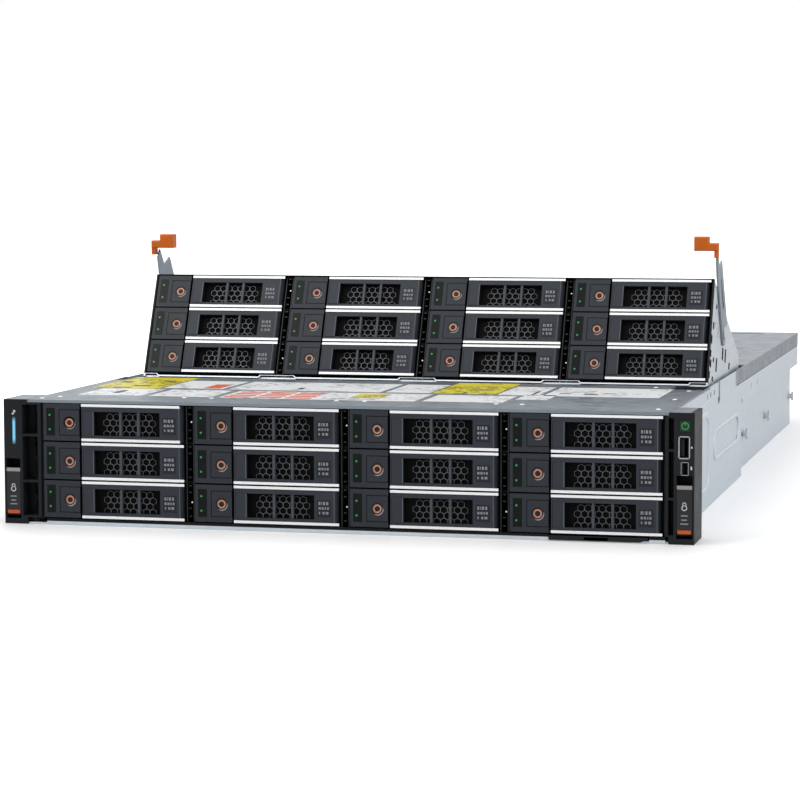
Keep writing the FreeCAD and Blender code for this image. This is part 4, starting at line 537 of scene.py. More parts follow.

# %% [markdown]
# ## Finishes for the other parts
# The body is galvanised steel in three shades: pale walls, covers in a darker copy of the same zinc
# as painted shade, and the raised bay's side plates, almost white. Ears, levers and fans are moulded black,
# and anything a hand may pull is orange or blue. Each node takes the finish of its record slot.

# %% Finishes by slot
FINISH = {
    "steel": sheet_metal("wall_zinc", rgb(204, 212, 219), 150.0, 0.05),
    # The covers' zinc is a darker copy of the walls' zinc: painted shade on the upward-facing sheet.
    "cover_steel": sheet_metal("shaded_cover_zinc", rgb(131, 140, 147), 120.0, 0.04),
    "bay_steel": sheet_metal("bay_zinc", rgb(226, 231, 235), 180.0, 0.14),
    "slot_steel": sheet_metal("slot_zinc", rgb(188, 193, 198), 150.0, 0.10),
    "arm_steel": sheet_metal("arm_zinc", rgb(138, 149, 158), 220.0, 0.12),
    "stud_steel": sheet_metal("stud_nickel", rgb(205, 208, 211), 400.0, 0.05, 1.0),
    "supply_metal": sheet_metal("supply_zinc", rgb(182, 186, 190), 150.0, 0.10),
    "sink_aluminium": sheet_metal("fin_aluminium", rgb(198, 201, 205), 500.0, 0.06, 1.0),
    "ear_plastic": plastic("ear_black", rgb(34, 36, 39), 0.45, 1800.0, shine=0.1),
    "lever_plastic": plastic("lever_graphite", rgb(36, 37, 39), 0.25, 2200.0, 0.15),
    "button_plastic": plastic("key_black", rgb(24, 27, 29), 0.4),
    "card_plastic": plastic("card_black", rgb(11, 12, 13), 0.4, 1200.0),
    "grip_plastic": plastic("grip_orange", rgb(204, 98, 8), 0.42, 900.0, 0.35),
    "latch_plastic": DRIVE["front"],
    "copper_plastic": DRIVE["front"],
    "drive": DRIVE["front"],
    "light_bar": lit_bar("blue_light_bar", *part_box("id_button")),
    "board": plastic("board_green", rgb(22, 74, 52), 0.45, 500.0, 0.2, 0.3),
    "card_board": plastic("memory_green", rgb(24, 84, 58), 0.42, 700.0, 0.2, 0.3),
    "fan_plastic": plastic("fan_black", rgb(30, 31, 33), 0.45),
    "rotor_plastic": plastic("rotor_black", rgb(24, 25, 27), 0.4),
    "shroud_plastic": plastic("shroud_black", rgb(28, 29, 31), 0.5, 700.0),
    "latch_blue": plastic("latch_blue", rgb(44, 104, 172), 0.38),
}
print("finishes by slot:", len(FINISH))

# %% [markdown]
# ## The cages and the tray
# Inside the drive cages and on their front rim, painted shade turns the zinc black, and the cut front
# edges of their walls are bare, so each divider shows two thin bright lines. The bay's outer plates are
# the same part as its lattice, so its finish also looks sideways. The tray is bare zinc, with painted
# shade behind the ears and on the walls' front edges, and its front lip reads as a black line of painted
# shadow over a bright one. One helper turns a mask of painted shade into such a metal.

# %% Cage and tray finishes
def zinc_with_painted_shade(name, zinc_size, zinc_strength, tones, shine, drop, rise, bump):
    """A zinc material that goes black by a mask of painted shade. It gives the tree, the Object coordinates and a
    function
    that wires the mask: metallic = 0.85 - mask * drop, roughness = zinc's + mask * rise."""
    material, tree, shader, where = base(name)
    zinc = zinc_on(tree, where, zinc_size, zinc_strength)
    shader.inputs["Specular IOR Level"].default_value = shine

    def wire(dark):
        tree.links.new(scaled(tree, blend(tree, dark, *tones), zinc["Tone"]), shader.inputs["Base Color"])
        tree.links.new(maths(tree, "MULTIPLY_ADD", dark, -drop, 0.85), shader.inputs["Metallic"])
        tree.links.new(maths(tree, "MULTIPLY_ADD", dark, rise, zinc["Roughness"]), shader.inputs["Roughness"])
        relief(tree, shader, zinc["Height"], *bump)
        return material
    return tree, where, wire


def cage_finish(name, place, outside, lip):
    """Painted shade: black inside the lattice and on its front rim; `outside` and `lip` are how far sideways and
    down.
    """
    tree, where, wire = zinc_with_painted_shade(name, 180.0, 0.12, (rgb(204, 210, 215), rgb(7, 8, 9)), 0.1,
                                   0.85, 0.4, (0.00004, 0.5))
    spot = apart(tree, on_vectors(tree, "MULTIPLY", level_spot(tree, where, place), (1 / MM,) * 3))
    width = 3 * COLUMN_PITCH + BEZEL_WIDTH
    # painted shade: black inside the lattice, `outside` beyond its sides and `lip` below it
    inside = region(tree, spot, x=(-outside, width + outside), z=(-lip, 80.0))
    # painted shade on the cage's front rim
    rim = region(tree, spot, y=(-1.0, 2.6), z=(-lip, 84.0))
    bare_edge = region(tree, spot, y=(-1.0, 2.1), z=(-1.2, 79.0))
    return wire(maths(tree, "SUBTRACT", maths(tree, "MAXIMUM", inside, rim),
                      maths(tree, "MULTIPLY", bare_edge, 0.05)))


def tray_finish(name):
    """Zinc walls, with painted shade in the hollow behind the ears and on the walls' front edges, and a painted
    shadow band on the lip above its bright line.
    """
    tree, where, wire = zinc_with_painted_shade(name, 150.0, 0.05, (rgb(204, 212, 219), rgb(6, 7, 8)), 0.2,
                                   0.8, 0.0, (0.00002, 0.3))
    spot = apart(tree, on_vectors(tree, "MULTIPLY_ADD", where, (1 / MM,) * 3, (0.0, -FRONT / MM, 0.0)))
    # painted shadow: the lip's upper band goes black over its bright lower line
    lip = region(tree, spot, y=(-0.5, 1.35), z=(2.4, 4.5))
    # painted shade in the hollow behind the ears and on the walls' front edges
    hollow_shade = region(tree, spot, x=(-222.8, 222.8), y=(-0.5, 60.0), z=(4.3, 85.0))
    wall_edge_shade = region(tree, spot, x=(-224.2, 224.2), y=(-0.5, 12.9), z=(4.3, 85.0))
    return wire(maths(tree, "MAXIMUM", maths(tree, "MAXIMUM", lip, hollow_shade), wall_edge_shade))


FINISH["cage_steel"] = cage_finish("front_cage", "front", 40.0, 4.2)
NODE_FINISH = {"mid_bay_cage": cage_finish("middle_bay", "mid", 1.4, 1.6),
               "chassis_tray": tray_finish("tray_zinc")}
print("finishes by node:", list(NODE_FINISH))

# %% [markdown]
# ## Dressing the CAD parts
# The record names a slot for every node, which says what the node is made of. A node's mesh is never
# touched: only its material list is. The middle drives share the front drives' slot, but their bay is
# tilted, so they take the finish that turns it level.

# %% Give every CAD part its finish
slots = {part["node"]: part["material_slot"] for part in frame["record"]["subparts"]}
for node, part in frame["nodes"].items():
    finish = DRIVE["mid"] if node.startswith("drive_mid") else FINISH[slots[node]]
    part.data.materials.clear()
    part.data.materials.append(NODE_FINISH.get(node, finish))
print("parts with a finish:", len(frame["nodes"]))

# %% [markdown]
# ## What a bezel carries
# Every bezel has two lamps in a smoked window, a button with a copper ring in a dished hole, and a handle
# with a perforated grille behind its window, two upright ribs and a small dark plate. These are small,
# so their finishes matter more than their shapes: each gets one of its own.

# %% Bezel finishes
SMOKED = plastic("smoked_window", rgb(9, 15, 14), 0.3, 2500.0, 0.05, shine=0.15)
GREEN_LAMP = lamp("green_lamp", rgb(26, 170, 70), 0.55, rgb(10, 70, 30))
COPPER = sheet_metal("copper_ring", rgb(186, 128, 104), 900.0, 0.05, 0.5)
TRIM = sheet_metal("trim_silver", rgb(250, 251, 252), 900.0, 0.03, 0.3)
RED_CORE = plastic("ring_core", rgb(52, 14, 10), 0.4)
WEB = sheet_metal("grille_web", rgb(92, 95, 100), 600.0, 0.1, 0.3)
RIB = plastic("rib_plastic", rgb(68, 73, 80), 0.42, 1600.0)
# Painted highlight: lighter strips on the handle's edges, where they catch the light.
EDGE_HIGHLIGHT = plastic("bar_edge", rgb(92, 97, 105), 0.35, 1600.0)
PLATE_DARK = plastic("dark_plate", rgb(24, 27, 32), 0.3, 2500.0)
PRINT = plastic("pale_print", rgb(132, 137, 143), 0.5, 1200.0)
# Painted shade: black for the shade behind the grille and in small slots.
SHADOW = plastic("painted_shadow_black", rgb(3, 3, 4), 0.7, shine=0.1)


def carried_by(drive, part):
    """The body that carries a bezel's part: the first drive's handle and button move on their own."""
    return {"handle": "latch_drive", "button": "button_drive"}[part] if drive == "front_01" else drive


print("the first drive's handle rides on", carried_by("front_01", "handle"))

# %% [markdown]
# ## Lamps and the round button
# Lamps, ring and core are bodies of revolution, so each is a profile of (radius, depth) pairs
# turned about its middle. The ring's profile is a low rounded rim, and the dark core sits deeper, which
# gives the button its dished look from every side.

# %% Lamps, ring and core
LAMP_WINDOW = ([[2.2, -0.14, 3.4]], [[8.4, 0.2, 22.6]])
LAMP_SPOTS = [[4.6, 0, 17.7], [4.6, 0, 7.7]]
LENS_PROFILE = [[0.05, -0.24], [0.75, -0.24], [0.75, 0.0], [0.05, 0.0]]
RING_PROFILE = [[3.05, 0.0], [3.05, 0.5], [1.7, 0.9], [1.7, 0.2], [2.0, -0.14], [2.7, -0.2]]
CORE_PROFILE = [[0.02, 0.3], [1.9, 0.3], [1.9, 0.9], [0.02, 0.9]]
for drive in DRIVES:
    place, button = drive_frame(drive), carried_by(drive, "button")
    blocks("lamp_window_" + drive, *LAMP_WINDOW, place, SMOKED, drive, slot="drive")
    points, faces = lathe(LAMP_SPOTS, LENS_PROFILE, 10)
    mesh_piece("lamps_" + drive, place(points), faces, GREEN_LAMP, drive, slot="light_bar")
    points, faces = lathe([[RING_X, 0, RING_Z]], RING_PROFILE, 24)
    mesh_piece("copper_ring_" + drive, place(points), faces, COPPER, button, True, slot="copper_plastic")
    points, faces = lathe([[RING_X, 0, RING_Z]], CORE_PROFILE, 16)
    mesh_piece("ring_core_" + drive, place(points), faces, RED_CORE, button, slot="copper_plastic")
print("faces of a ring:", made["copper_ring_front_01"])

# %% [markdown]
# ## The grille
# The grille is a real web of six-sided cells, not a printed pattern: its points are the corners of
# hexagons at two radii, so it still reads as a sheet with holes when seen from the side. Each cell
# brings its own half of the web around it, and neighbours meet without a gap.

# %% The grille's web
CELL, CELL_ROW = 4.75, 3.95                             # from one cell's middle to the next, and row to row
WEB_LINE, WEB_FRONT, WEB_BACK = 0.5, 3.4, 3.9
WINDOW_LOW, WINDOW_HIGH = 2.2, 21.6
FIRST_CELL, ODD_SHIFT, CELL_ROWS, CELL_COLUMNS = (47.6, 16.63), 2.4, 4, 7
CELL_MIDDLES = np.array([[FIRST_CELL[0] - ODD_SHIFT * (row % 2) + CELL * k, FIRST_CELL[1] - CELL_ROW * row]
                         for row in range(CELL_ROWS) for k in range(CELL_COLUMNS + row % 2)])


def honeycomb(middles):
    """Six-sided cells: corner = middle + radius * (sin, cos) of each sixth of a turn, at two radii.
    The ring between the radii, front and back, with the inner wall between, is one cell's web."""
    turn = np.arange(6) * math.pi / 3
    outer, inner = CELL / math.sqrt(3), (CELL - WEB_LINE) / math.sqrt(3)
    cell = np.stack([np.stack([radius * np.sin(turn), np.full(6, depth), radius * np.cos(turn)], -1)
                     for radius, depth in ((outer, WEB_FRONT), (inner, WEB_FRONT), (inner, WEB_BACK),
                                           (outer, WEB_BACK))])
    cell[..., 2] *= CELL_ROW / (CELL * math.sqrt(0.75))
    spot = np.zeros((len(middles), 1, 1, 3))
    spot[..., 0], spot[..., 2] = middles[:, 0, None, None], middles[:, 1, None, None]
    faces = skin(4, 6, closed_rows=True)
    return (spot + cell).reshape(-1, 3), (faces + 24 * np.arange(len(middles))[:, None, None]).reshape(-1, 4)


web_points, web_faces = honeycomb(CELL_MIDDLES)
web_points[:, 2] = web_points[:, 2].clip(WINDOW_LOW, WINDOW_HIGH)
print("grille cells per bezel:", len(CELL_MIDDLES))

# %% [markdown]
# ## The handle's small pieces
# The rest of a handle is straight: ribs, a black sheet behind the grille as painted shade, lighter edge
# strips as painted highlights, trims and a plate with printed marks. Each is a block with a low and a high
# corner on the bezel, and the list below reads like a cutting list. The first drive's handle swings, so its
# trims end short of the carrier's edge.

# %% Handle pieces
TRIM_REACH, SHORT_REACH = 102.3, 99.2                   # right ends of the trims
# Marks on the plate: left end, height, width, thickness of line
MARK_BARS = np.array([[87.9, 14.0, 1.3, 2.2], [89.8, 14.0, 0.5, 2.2], [91.0, 14.0, 1.5, 2.2],
                      [93.3, 14.0, 1.4, 2.2], [87.9, 10.9, 1.6, 1.7], [90.1, 10.9, 1.4, 1.7],
                      [92.2, 10.9, 0.9, 1.7], [93.8, 10.9, 1.3, 1.7], [88.1, 7.7, 0.9, 1.7],
                      [90.6, 7.7, 1.5, 1.7], [92.9, 7.7, 1.9, 1.7]])
MARK_LOWS = np.insert(MARK_BARS[:, :2], 1, -0.16, axis=1)
MARK_HIGHS = MARK_LOWS + np.insert(MARK_BARS[:, 2:], 1, 0.1, axis=1)


def handle_pieces(reach):
    """Name, low corners, high corners and finish of each kind of block; reach is the trims' right end."""
    trim_front = -TRIM_PROUD - 0.02
    return [("window_ribs_", [[55.3, 0.5, 3.9], [68.3, 0.5, 3.9]], [[57.0, 3.2, 20.5], [70.0, 3.2, 20.5]], RIB),
            # a black sheet behind the grille: painted shade
            ("grille_shadow_", [[36.0, 4.5, 1.6]], [[86.0, 4.9, 22.6]], SHADOW),
            # lighter strips on the window's left edge and the handle's end: painted highlights
            ("edge_highlight_", [[36.4, -0.52, 3.9], [98.6, -0.06, 1.9]], [[37.0, -0.3, 20.5], [99.0, 0.3, 23.8]],
             EDGE_HIGHLIGHT),
            ("trims_", [[28.0, trim_front, 0.02], [28.0, trim_front, 23.88]],
             [[reach, -0.1, 1.82], [reach, -0.1, 25.68]], TRIM),
            ("name_plate_", [[86.8, -0.1, 5.6]], [[96.6, 0.1, 17.4]], PLATE_DARK),
            ("plate_marks_", MARK_LOWS, MARK_HIGHS, PRINT)]


for drive in DRIVES:
    place, handle = drive_frame(drive), carried_by(drive, "handle")
    mesh_piece("grille_" + drive, place(web_points), web_faces, WEB, handle, slot="drive")
    for name, lows, highs, paint in handle_pieces(TRIM_REACH if handle == drive else SHORT_REACH):
        blocks(name + drive, lows, highs, place, paint, handle, slot="latch_plastic")
print("pieces on the bezels:", len(made))

# %% [markdown]
# ## Divider strips
# Between two columns the cage's wall shows its front edge: a thin grey line on each side, four small
# notches and, in the upper and lower rows, a bright rivet. The strips repeat by row, so they belong to the
# cage that holds the column and not to the drive beside it.

# %% Divider strips
STRIP_FRONT, STRIP_BACK = 1.85, 2.05
EDGES = [[x, STRIP_FRONT, 0.0, x + 0.45, STRIP_BACK, BEZEL_HEIGHT] for x in (103.4, 108.6)]
NOTCHES = [[105.2, STRIP_FRONT, z, 107.0, STRIP_BACK, z + 0.8] for z in (3.0, 8.5, 19.5, 24.0)]
STRIP = np.array(EDGES + NOTCHES)
RIVET_PROFILE = [[0.02, -0.3], [0.5, -0.3], [0.65, 0.05], [0.02, 0.05]]
GREY_EDGE = plastic("divider_edge", rgb(30, 32, 35), 0.35, 1500.0)
for drive in DRIVES:
    number, owner = int(drive[-2:]), "chassis" if drive.startswith("front") else "mid_bay"
    if number % 4 == 0:                                 # the last column has no divider on its right
        continue
    blocks("divider_" + drive, STRIP[:, :3], STRIP[:, 3:], drive_frame(drive), GREY_EDGE, owner,
           slot="cage_steel")
    if not 5 <= number <= 8:
        points, faces = lathe([[107.3, 2.0, 14.7 if number < 5 else 13.0]], RIVET_PROFILE, 10)
        mesh_piece("divider_dot_" + drive, drive_frame(drive)(points), faces, TRIM, owner, slot="stud_steel")
print("dividers:", sum("divider_" in name for name in made))

# %% [markdown]
# ## The front cover's stickers
# The cover carries pale service stickers with thin dark dividers and a few patches of colour.
# Nothing is copied onto them: the places are kept, and plain generic blocks and dashes stand in for
# drawings and words. Each sticker is a very thin block lying on the sheet.

# %% Sticker finishes and places
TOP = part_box("front_cover")[1].z / MM
STICKER, LAYER = 0.08, 0.04                             # sheet thickness, one sheet on another


def printed(name, paper, ink, pitch, share):
    """Paper with rows of generic dashes: a row is inked over part of its pitch, where a slow noise is high."""
    material, tree, shader, where = base(name)
    x, y, _ = apart(tree, where)
    row = maths(tree, "DIVIDE", y, pitch * MM)
    step = maths(tree, "MULTIPLY", maths(tree, "FLOOR", row), 0.37)
    spot = put(tree, "ShaderNodeCombineXYZ", {0: x, 1: step})
    dash = maths(tree, "GREATER_THAN", noise(tree, spot.outputs[0], 130.0, 1.0), 1.0 - share)
    inked = maths(tree, "MULTIPLY", dash, maths(tree, "LESS_THAN", maths(tree, "FRACT", row), 0.45))
    area = maths(tree, "GREATER_THAN", noise(tree, where, 26.0, 0.0), 0.47)
    tree.links.new(blend(tree, maths(tree, "MULTIPLY", inked, area), paper, ink), shader.inputs["Base Color"])
    shader.inputs["Roughness"].default_value = 0.42
    return material


PAPER = printed("sticker_white", rgb(240, 242, 243), rgb(110, 114, 118), 3.4, 0.46)
YELLOW = printed("sticker_yellow", rgb(222, 208, 30), rgb(24, 24, 20), 7.0, 0.52)
ORANGE_PRINT = plastic("print_orange", rgb(214, 96, 60), 0.5, 900.0, 0.1)
DARK_PRINT = plastic("print_dark", rgb(52, 54, 58), 0.5, 900.0, 0.1)
# Rectangles on the cover: left, right, front, rear
PAGES = [(-203.5, -156, 45, 99), (-151, -105, 45, 99), (-99, 42, 42, 99), (47, 103, 45, 97),
         (107, 129, 72, 110), (-162, -117, 110, 176), (-113, 1, 108, 178), (5, 37, 109, 178),
         (87, 116, 106, 176), (120, 201.5, 104, 176)]
YELLOWS = [(-214, -163.5, 101, 199), (39, 85, 108, 199), (-8.5, 14, 60, 92)]
ORANGES = [(-133, -120, 113, 147)] + [(-96 + 22 * k, -77 + 22 * k, 46 + 13 * r, 54 + 13 * r)
                                      for k in range(3) for r in range(4)]
MARKS = [(-209, -202, 150, 160), (-190, -176, 120, 128), (-200, -186, 106, 112), (-178, -170, 158, 166),
         (-64, -60, 120, 132), (110, 112, 112, 140), (60, 62, 112, 124), (-184, -179, 62, 84),
         (128, 136, 122, 126), (146, 156, 118, 124), (160, 168, 128, 132), (-20, 12, 50, 52)]
SHEETS = [("sticker_pages", PAGES, 0, PAPER), ("sticker_yellow", YELLOWS, 1, YELLOW),
          ("sticker_orange", ORANGES, 1, ORANGE_PRINT), ("sticker_marks", MARKS, 2, DARK_PRINT)]


def lying(rectangles, layer):
    """Low and high corners of thin sheets on the cover, one layer above the last."""
    left, right, near, far = np.array(rectangles, float).T
    under = TOP + layer * LAYER
    return (np.stack([left, near, np.full(len(left), under - 0.02)], -1),
            np.stack([right, far, np.full(len(left), under + STICKER)], -1))


for name, rectangles, layer, paint in SHEETS:
    blocks(name, *lying(rectangles, layer), row_frame, paint, "chassis", slot="cover_steel")
print("sheets on the cover:", {name: len(rectangles) for name, rectangles, _, _ in SHEETS})

# %% [markdown]
# ## Screws in the cover
# The cover is held by pan-head screws. Only their domed heads show, so each one is a low dome
# turned about its middle, standing on the sheet.

# %% Cover screws
SCREW = sheet_metal("screw_zinc", rgb(236, 238, 240), 700.0, 0.04, 0.7)
SCREW_SPOTS = [(-209, 26), (-217, 12), (-121, 36), (-101, 36), (-11, 36), (9, 36), (101, 36), (119, 36),
               (214, 20), (214, 95), (214, 165), (186.5, 190)]
DOME = [[0.02, 0.55], [0.9, 0.5], [1.6, 0.3], [2.0, -0.05], [0.02, -0.05]]
points, faces = lathe([[x, y, TOP] for x, y in SCREW_SPOTS], DOME, 12, around=(0, 1))
mesh_piece("cover_screws", row_frame(points), faces, SCREW, "chassis", True, slot="stud_steel")
print("screws:", len(SCREW_SPOTS))

# %% [markdown]
# ## Signs on the release levers
# Each release lever carries a small padlock sign, three bars in place of words and an orange strip, as a
# plain hint of what a hand should pull. Signs are thin raised shapes and not paint, so they keep
# their edges in any light. They stand out only a hair, and sink a little into the part behind.

# %% Lever signs
SIGN = plastic("pale_sign", rgb(206, 210, 214), 0.45, 1500.0, 0.1)
HINT = plastic("orange_strip", rgb(202, 88, 40), 0.45, 1200.0, 0.1)
LIP = sheet_metal("lever_lip", rgb(150, 148, 146), 500.0, 0.1, 0.6)
PROUD, SUNK = 0.04, 0.05                                # signs stand out and reach in this far, mm
PADLOCK_BODY, PADLOCK_LOOP = (24.2, 1.9, 1.3), (26.6, 1.35, 0.85)   # height, outer and inner radius
WORD_BARS = np.array([[-2.2, 18.6, 4.4], [-1.9, 15.8, 3.6], [-2.6, 13.2, 5.2]])  # left end, height, length


def ring_of(x, z, outer, inner, front):
    """A flat washer on a front: its profile is a small rectangle carried round the axis."""
    return lathe([[x, 0, z]], [[outer, front - PROUD], [outer, front + SUNK], [inner, front + SUNK],
                               [inner, front - PROUD]], 20)


def front_middle(node):
    """Low corner, high corner and middle of a node's front face, in row millimetres."""
    low, high = (np.array(corner) / MM - [0.0, FRONT / MM, 0.0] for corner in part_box(node))
    return low, high, ((low[0] + high[0]) / 2, low[1], (low[2] + high[2]) / 2)


for body in ("lever_left", "lever_right"):
    low, high, (x, front, _) = front_middle("release_" + body)
    sign, loops = ring_of(x, *PADLOCK_BODY, front)
    shackle, hoops = ring_of(x, *PADLOCK_LOOP, front)
    mesh_piece("lever_sign_" + body, row_frame(np.concatenate([sign, shackle])),
               np.concatenate([loops, hoops + len(sign)]), SIGN, body, slot="lever_plastic")
    lows = np.stack([x + WORD_BARS[:, 0], np.full(3, front - PROUD), WORD_BARS[:, 1]], -1)
    highs = lows + np.stack([WORD_BARS[:, 2], np.full(3, PROUD + SUNK), np.full(3, 0.9)], -1)
    blocks("lever_marks_" + body, lows, highs, row_frame, PRINT, body, slot="lever_plastic")
    blocks("lever_hint_" + body, [[x - 4.4, front - PROUD, 7.0]], [[x + 4.4, front + SUNK, 9.4]],
           row_frame, HINT, body, slot="grip_plastic")
    blocks("lever_edge_" + body, [[low[0] + 0.1, front - PROUD, high[2] - 2.6]],
           [[high[0] - 0.1, front + 0.1, high[2] - 0.1]], row_frame, LIP, body, slot="lever_plastic")
print("lever pieces:", [name for name in made if name.endswith("lever_left")])

# %% [markdown]
# ## The power key
# The right ear's upper key has a dim green field with the usual sign on it: a ring with a short stroke
# in its upper half. All three ride on the button's own body, so that they go in when it is pressed.

# %% Power key
GREEN_SIGN = lamp("green_sign", rgb(44, 186, 84), 0.45, rgb(14, 80, 34))
GREEN_FIELD = plastic("power_field_green", rgb(20, 44, 36), 0.3, 1800.0, 0.1)
low, high, (x, front, z) = front_middle("power_button")
points, faces = ring_of(x, z, 2.5, 1.9, front)
mesh_piece("power_ring", row_frame(points), faces, GREEN_SIGN, "button_power", slot="light_bar")
blocks("power_field", [[low[0] + 0.2, front - PROUD / 2, low[2] + 0.2]],
       [[high[0] - 0.2, front + SUNK, high[2] - 0.2]], row_frame, GREEN_FIELD, "button_power",
       slot="button_plastic")
blocks("power_stroke", [[x - 0.3, front - PROUD, z + 0.4]], [[x + 0.3, front + SUNK, z + 3.0]],
       row_frame, GREEN_SIGN, "button_power", slot="light_bar")
print("power key, mm:", round(x, 1), round(z, 1))

# %% [markdown]
# ## Caps, sockets and small signs
# The ears' upper faces are sheet, so a thin steel cap lies on each. The two sockets of the right ear have
# bright rims with a mark beside them, and the left ear has a small sign above its light bar. The
# information card under the drives shows one grey patch where a real one has its words.

# %% Ear pieces
OUTLINE = plastic("socket_outline", rgb(176, 180, 185), 0.4, 1500.0, 0.1)
CARD_PATCH = plastic("tag_patch_grey", rgb(96, 112, 124), 0.3, 2000.0, 0.1)
EAR_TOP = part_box("ear_right")[1].z / MM


def rim(name, x, z, width, height, line):
    """A thin rectangular rim on the ear's front: two upright bars, then the upper and the lower one."""
    w, h = width / 2, height / 2
    lows = [[x - w, -PROUD, z - h], [x + w - line, -PROUD, z - h], [x - w, -PROUD, z + h - line],
            [x - w, -PROUD, z - h]]
    highs = [[x - w + line, SUNK, z + h], [x + w, SUNK, z + h], [x + w, SUNK, z + h],
             [x + w, SUNK, z - h + line]]
    return blocks(name, lows, highs, row_frame, OUTLINE, "chassis", slot="ear_plastic")


blocks("ear_caps", [[-240.5, 0.5, EAR_TOP - 0.1], [224.4, 0.5, EAR_TOP - 0.1]],
       [[-224.4, 36.5, EAR_TOP + PROUD], [238.6, 36.5, EAR_TOP + PROUD]], row_frame,
       FINISH["cover_steel"], "chassis", slot="cover_steel")
rim("serial_socket_outline", 234.2, 63.9, 7.6, 15.0, 0.7)
rim("service_socket_outline", 234.6, 50.0, 5.0, 8.8, 0.3)
blocks("socket_marks", [[238.6, -PROUD, 63.4], [238.4, -PROUD, 49.4]], [[239.6, 0.2, 64.6], [239.4, 0.2, 51.6]],
       row_frame, SIGN, "chassis", slot="ear_plastic")
blocks("status_sign", [[-235.0, -PROUD, 76.2], [-234.0, -PROUD, 77.6]],
       [[-233.4, 0.2, 77.4], [-232.4, 0.2, 79.2]], row_frame, SIGN, "chassis", slot="ear_plastic")
blocks("tag_patch", [[168.0, 0.0, 0.9]], [[184.0, 0.06, 2.9]], row_frame, CARD_PATCH, "card",
       slot="card_plastic")
print("ear pieces:", list(made)[-6:])

# %% [markdown]
# ## Grips on the lift arms
# The lift grips are small orange mouldings on the ends of the two arms. Each one here starts from the
# solid grip's own corners, drawn in towards the arm's blade and towards its top, because the
# real one is a little smaller. It then stands in for the solid one, and rides on the same arm.

# %% Grips
GRIP_SHARE, GRIP_OUTSIDE = 0.795, 221.9                 # size against the solid, and the outer face
for side, label in ((-1, "left"), (1, "right")):
    node = "lift_grip_" + label
    points = vertices(node)
    out, top = np.abs(points[:, 0]), points[:, 2].max()
    points[:, 0] = side * (GRIP_OUTSIDE * MM - (out.max() - out) * GRIP_SHARE)
    points[:, 2] = top - (top - points[:, 2]) * GRIP_SHARE
    faces = [list(face.vertices) for face in frame["nodes"][node].data.polygons]
    grip = mesh_piece("grip_shape_" + label, points, faces, FINISH["grip_plastic"], "arm_" + label,
                      slot="grip_plastic")
    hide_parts(node)
print("grip height, mm:", round(np.ptp(points[:, 2]) / MM, 1))

# %% [markdown]
# ## Beads in the sheet
# Long flat sheet drums and bends, so a press rolls beads into it. Each bead is a low rounded ridge
# that follows a path over the sheet. The ridge's profile is half an ellipse, carried along the path.
# A raised strip was chosen over a painted line, because it catches the light from any side.

# %% Beads
WALL, BEAD_SUNK = 224.0, 0.05                           # outer face of a wall, and a bead's reach into it
PANEL = [(40, 68), (186, 68), (197, 62), (197, 20), (190, 14), (40, 14)]
BAND = [(40, 75), (150, 75), (214, 77.5), (244, 77.5)]
RECESS = [(300, 31), (366, 31), (373, 37), (373, 46), (366, 52), (233, 52), (226, 46), (226, 37),
          (233, 31), (300, 31)]
WALL_BEADS = [("panel_bead_", PANEL, 5.0, 1.1), ("band_bead_", BAND, 2.0, 0.5),
              ("recess_low_", RECESS, 3.4, 1.0)]       # name, route, width, height


def rounded_path(points, radius=4.0, steps=5):
    """Corners become short arcs: each is a blend of the points a radius before and after it."""
    points = np.asarray(points, float)
    result = [points[0]]
    for before, corner, after in zip(points[:-2], points[1:-1], points[2:]):
        a = corner + (before - corner) * min(1, radius / np.linalg.norm(before - corner))
        b = corner + (after - corner) * min(1, radius / np.linalg.norm(after - corner))
        t = np.linspace(0, 1, steps)[:, None]
        result.extend((1 - t) ** 2 * a + 2 * t * (1 - t) * corner + t ** 2 * b)
    result.append(points[-1])
    return np.array(result)


def bead(name, line, width, height, out_axis, finish, body, slot):
    """A ridge along a line: profile = (half width * -cos a, height * sin a) for a from 0 to half a turn."""
    a = np.linspace(0, math.pi, 9)
    profile = np.stack([-width / 2 * np.cos(a), height * np.sin(a) - BEAD_SUNK], -1)
    points, faces = carried(line, profile, out_axis)
    return mesh_piece(name, row_frame(points), faces, finish, body, True, slot=slot)


for side, label in ((-1, "left"), (1, "right")):
    for name, route, width, height in WALL_BEADS:
        line = rounded_path([[WALL * side, y, z] for y, z in route])
        bead(name + label, line, width, height, (side, 0, 0), FINISH["steel"], "chassis", "steel")
print("wall beads:", [name for name, _, _, _ in WALL_BEADS])

# %% [markdown]
# ## Holes that look black
# Walls and bay plates have small slots that open onto the dark inside. The larger ones are cut
# in the solids. For the small ones a thin black patch on the sheet stands in for the hole and the shade
# in it, as a painted shadow, and there is none where a folded lift arm would rub on it.

# %% Black patches, and the rear cover's bead
# Patches: y, z, length, height
WALL_SLOT_SHADOWS = [(254.0, 79.5, 2.4, 14.0), (252.6, 73.0, 4.4, 5.0), (357.5, 81.0, 2.0, 11.0),
              (191, 81, 1.6, 3.6), (208, 81, 1.6, 3.6), (228, 81, 1.6, 3.6), (398, 60, 3, 3), (400, 33, 3, 3)]
PLATE_SLOT_SHADOWS = [(216, 53, 3, 5), (210, 40, 4, 6), (210, 29, 3, 5), (275, 52, 4, 9), (212, 22, 5, 5),
               (209, 12, 3, 5), (316, 57, 3, 5), (244.3, 32.1, 3, 10), (291.5, 56.5, 3, 10),
               (226.8, 15, 3, 3), (226.8, 30, 3, 3), (226.8, 72, 3, 3), (330, 30, 3, 3)]
PLATE = 2.5                                             # from the outer bezels to the bay plates' faces
PLATE_OUTSIDE = {-1: CORNER["mid_01"][0] / MM - PLATE, 1: CORNER["mid_04"][0] / MM + BEZEL_WIDTH + PLATE}


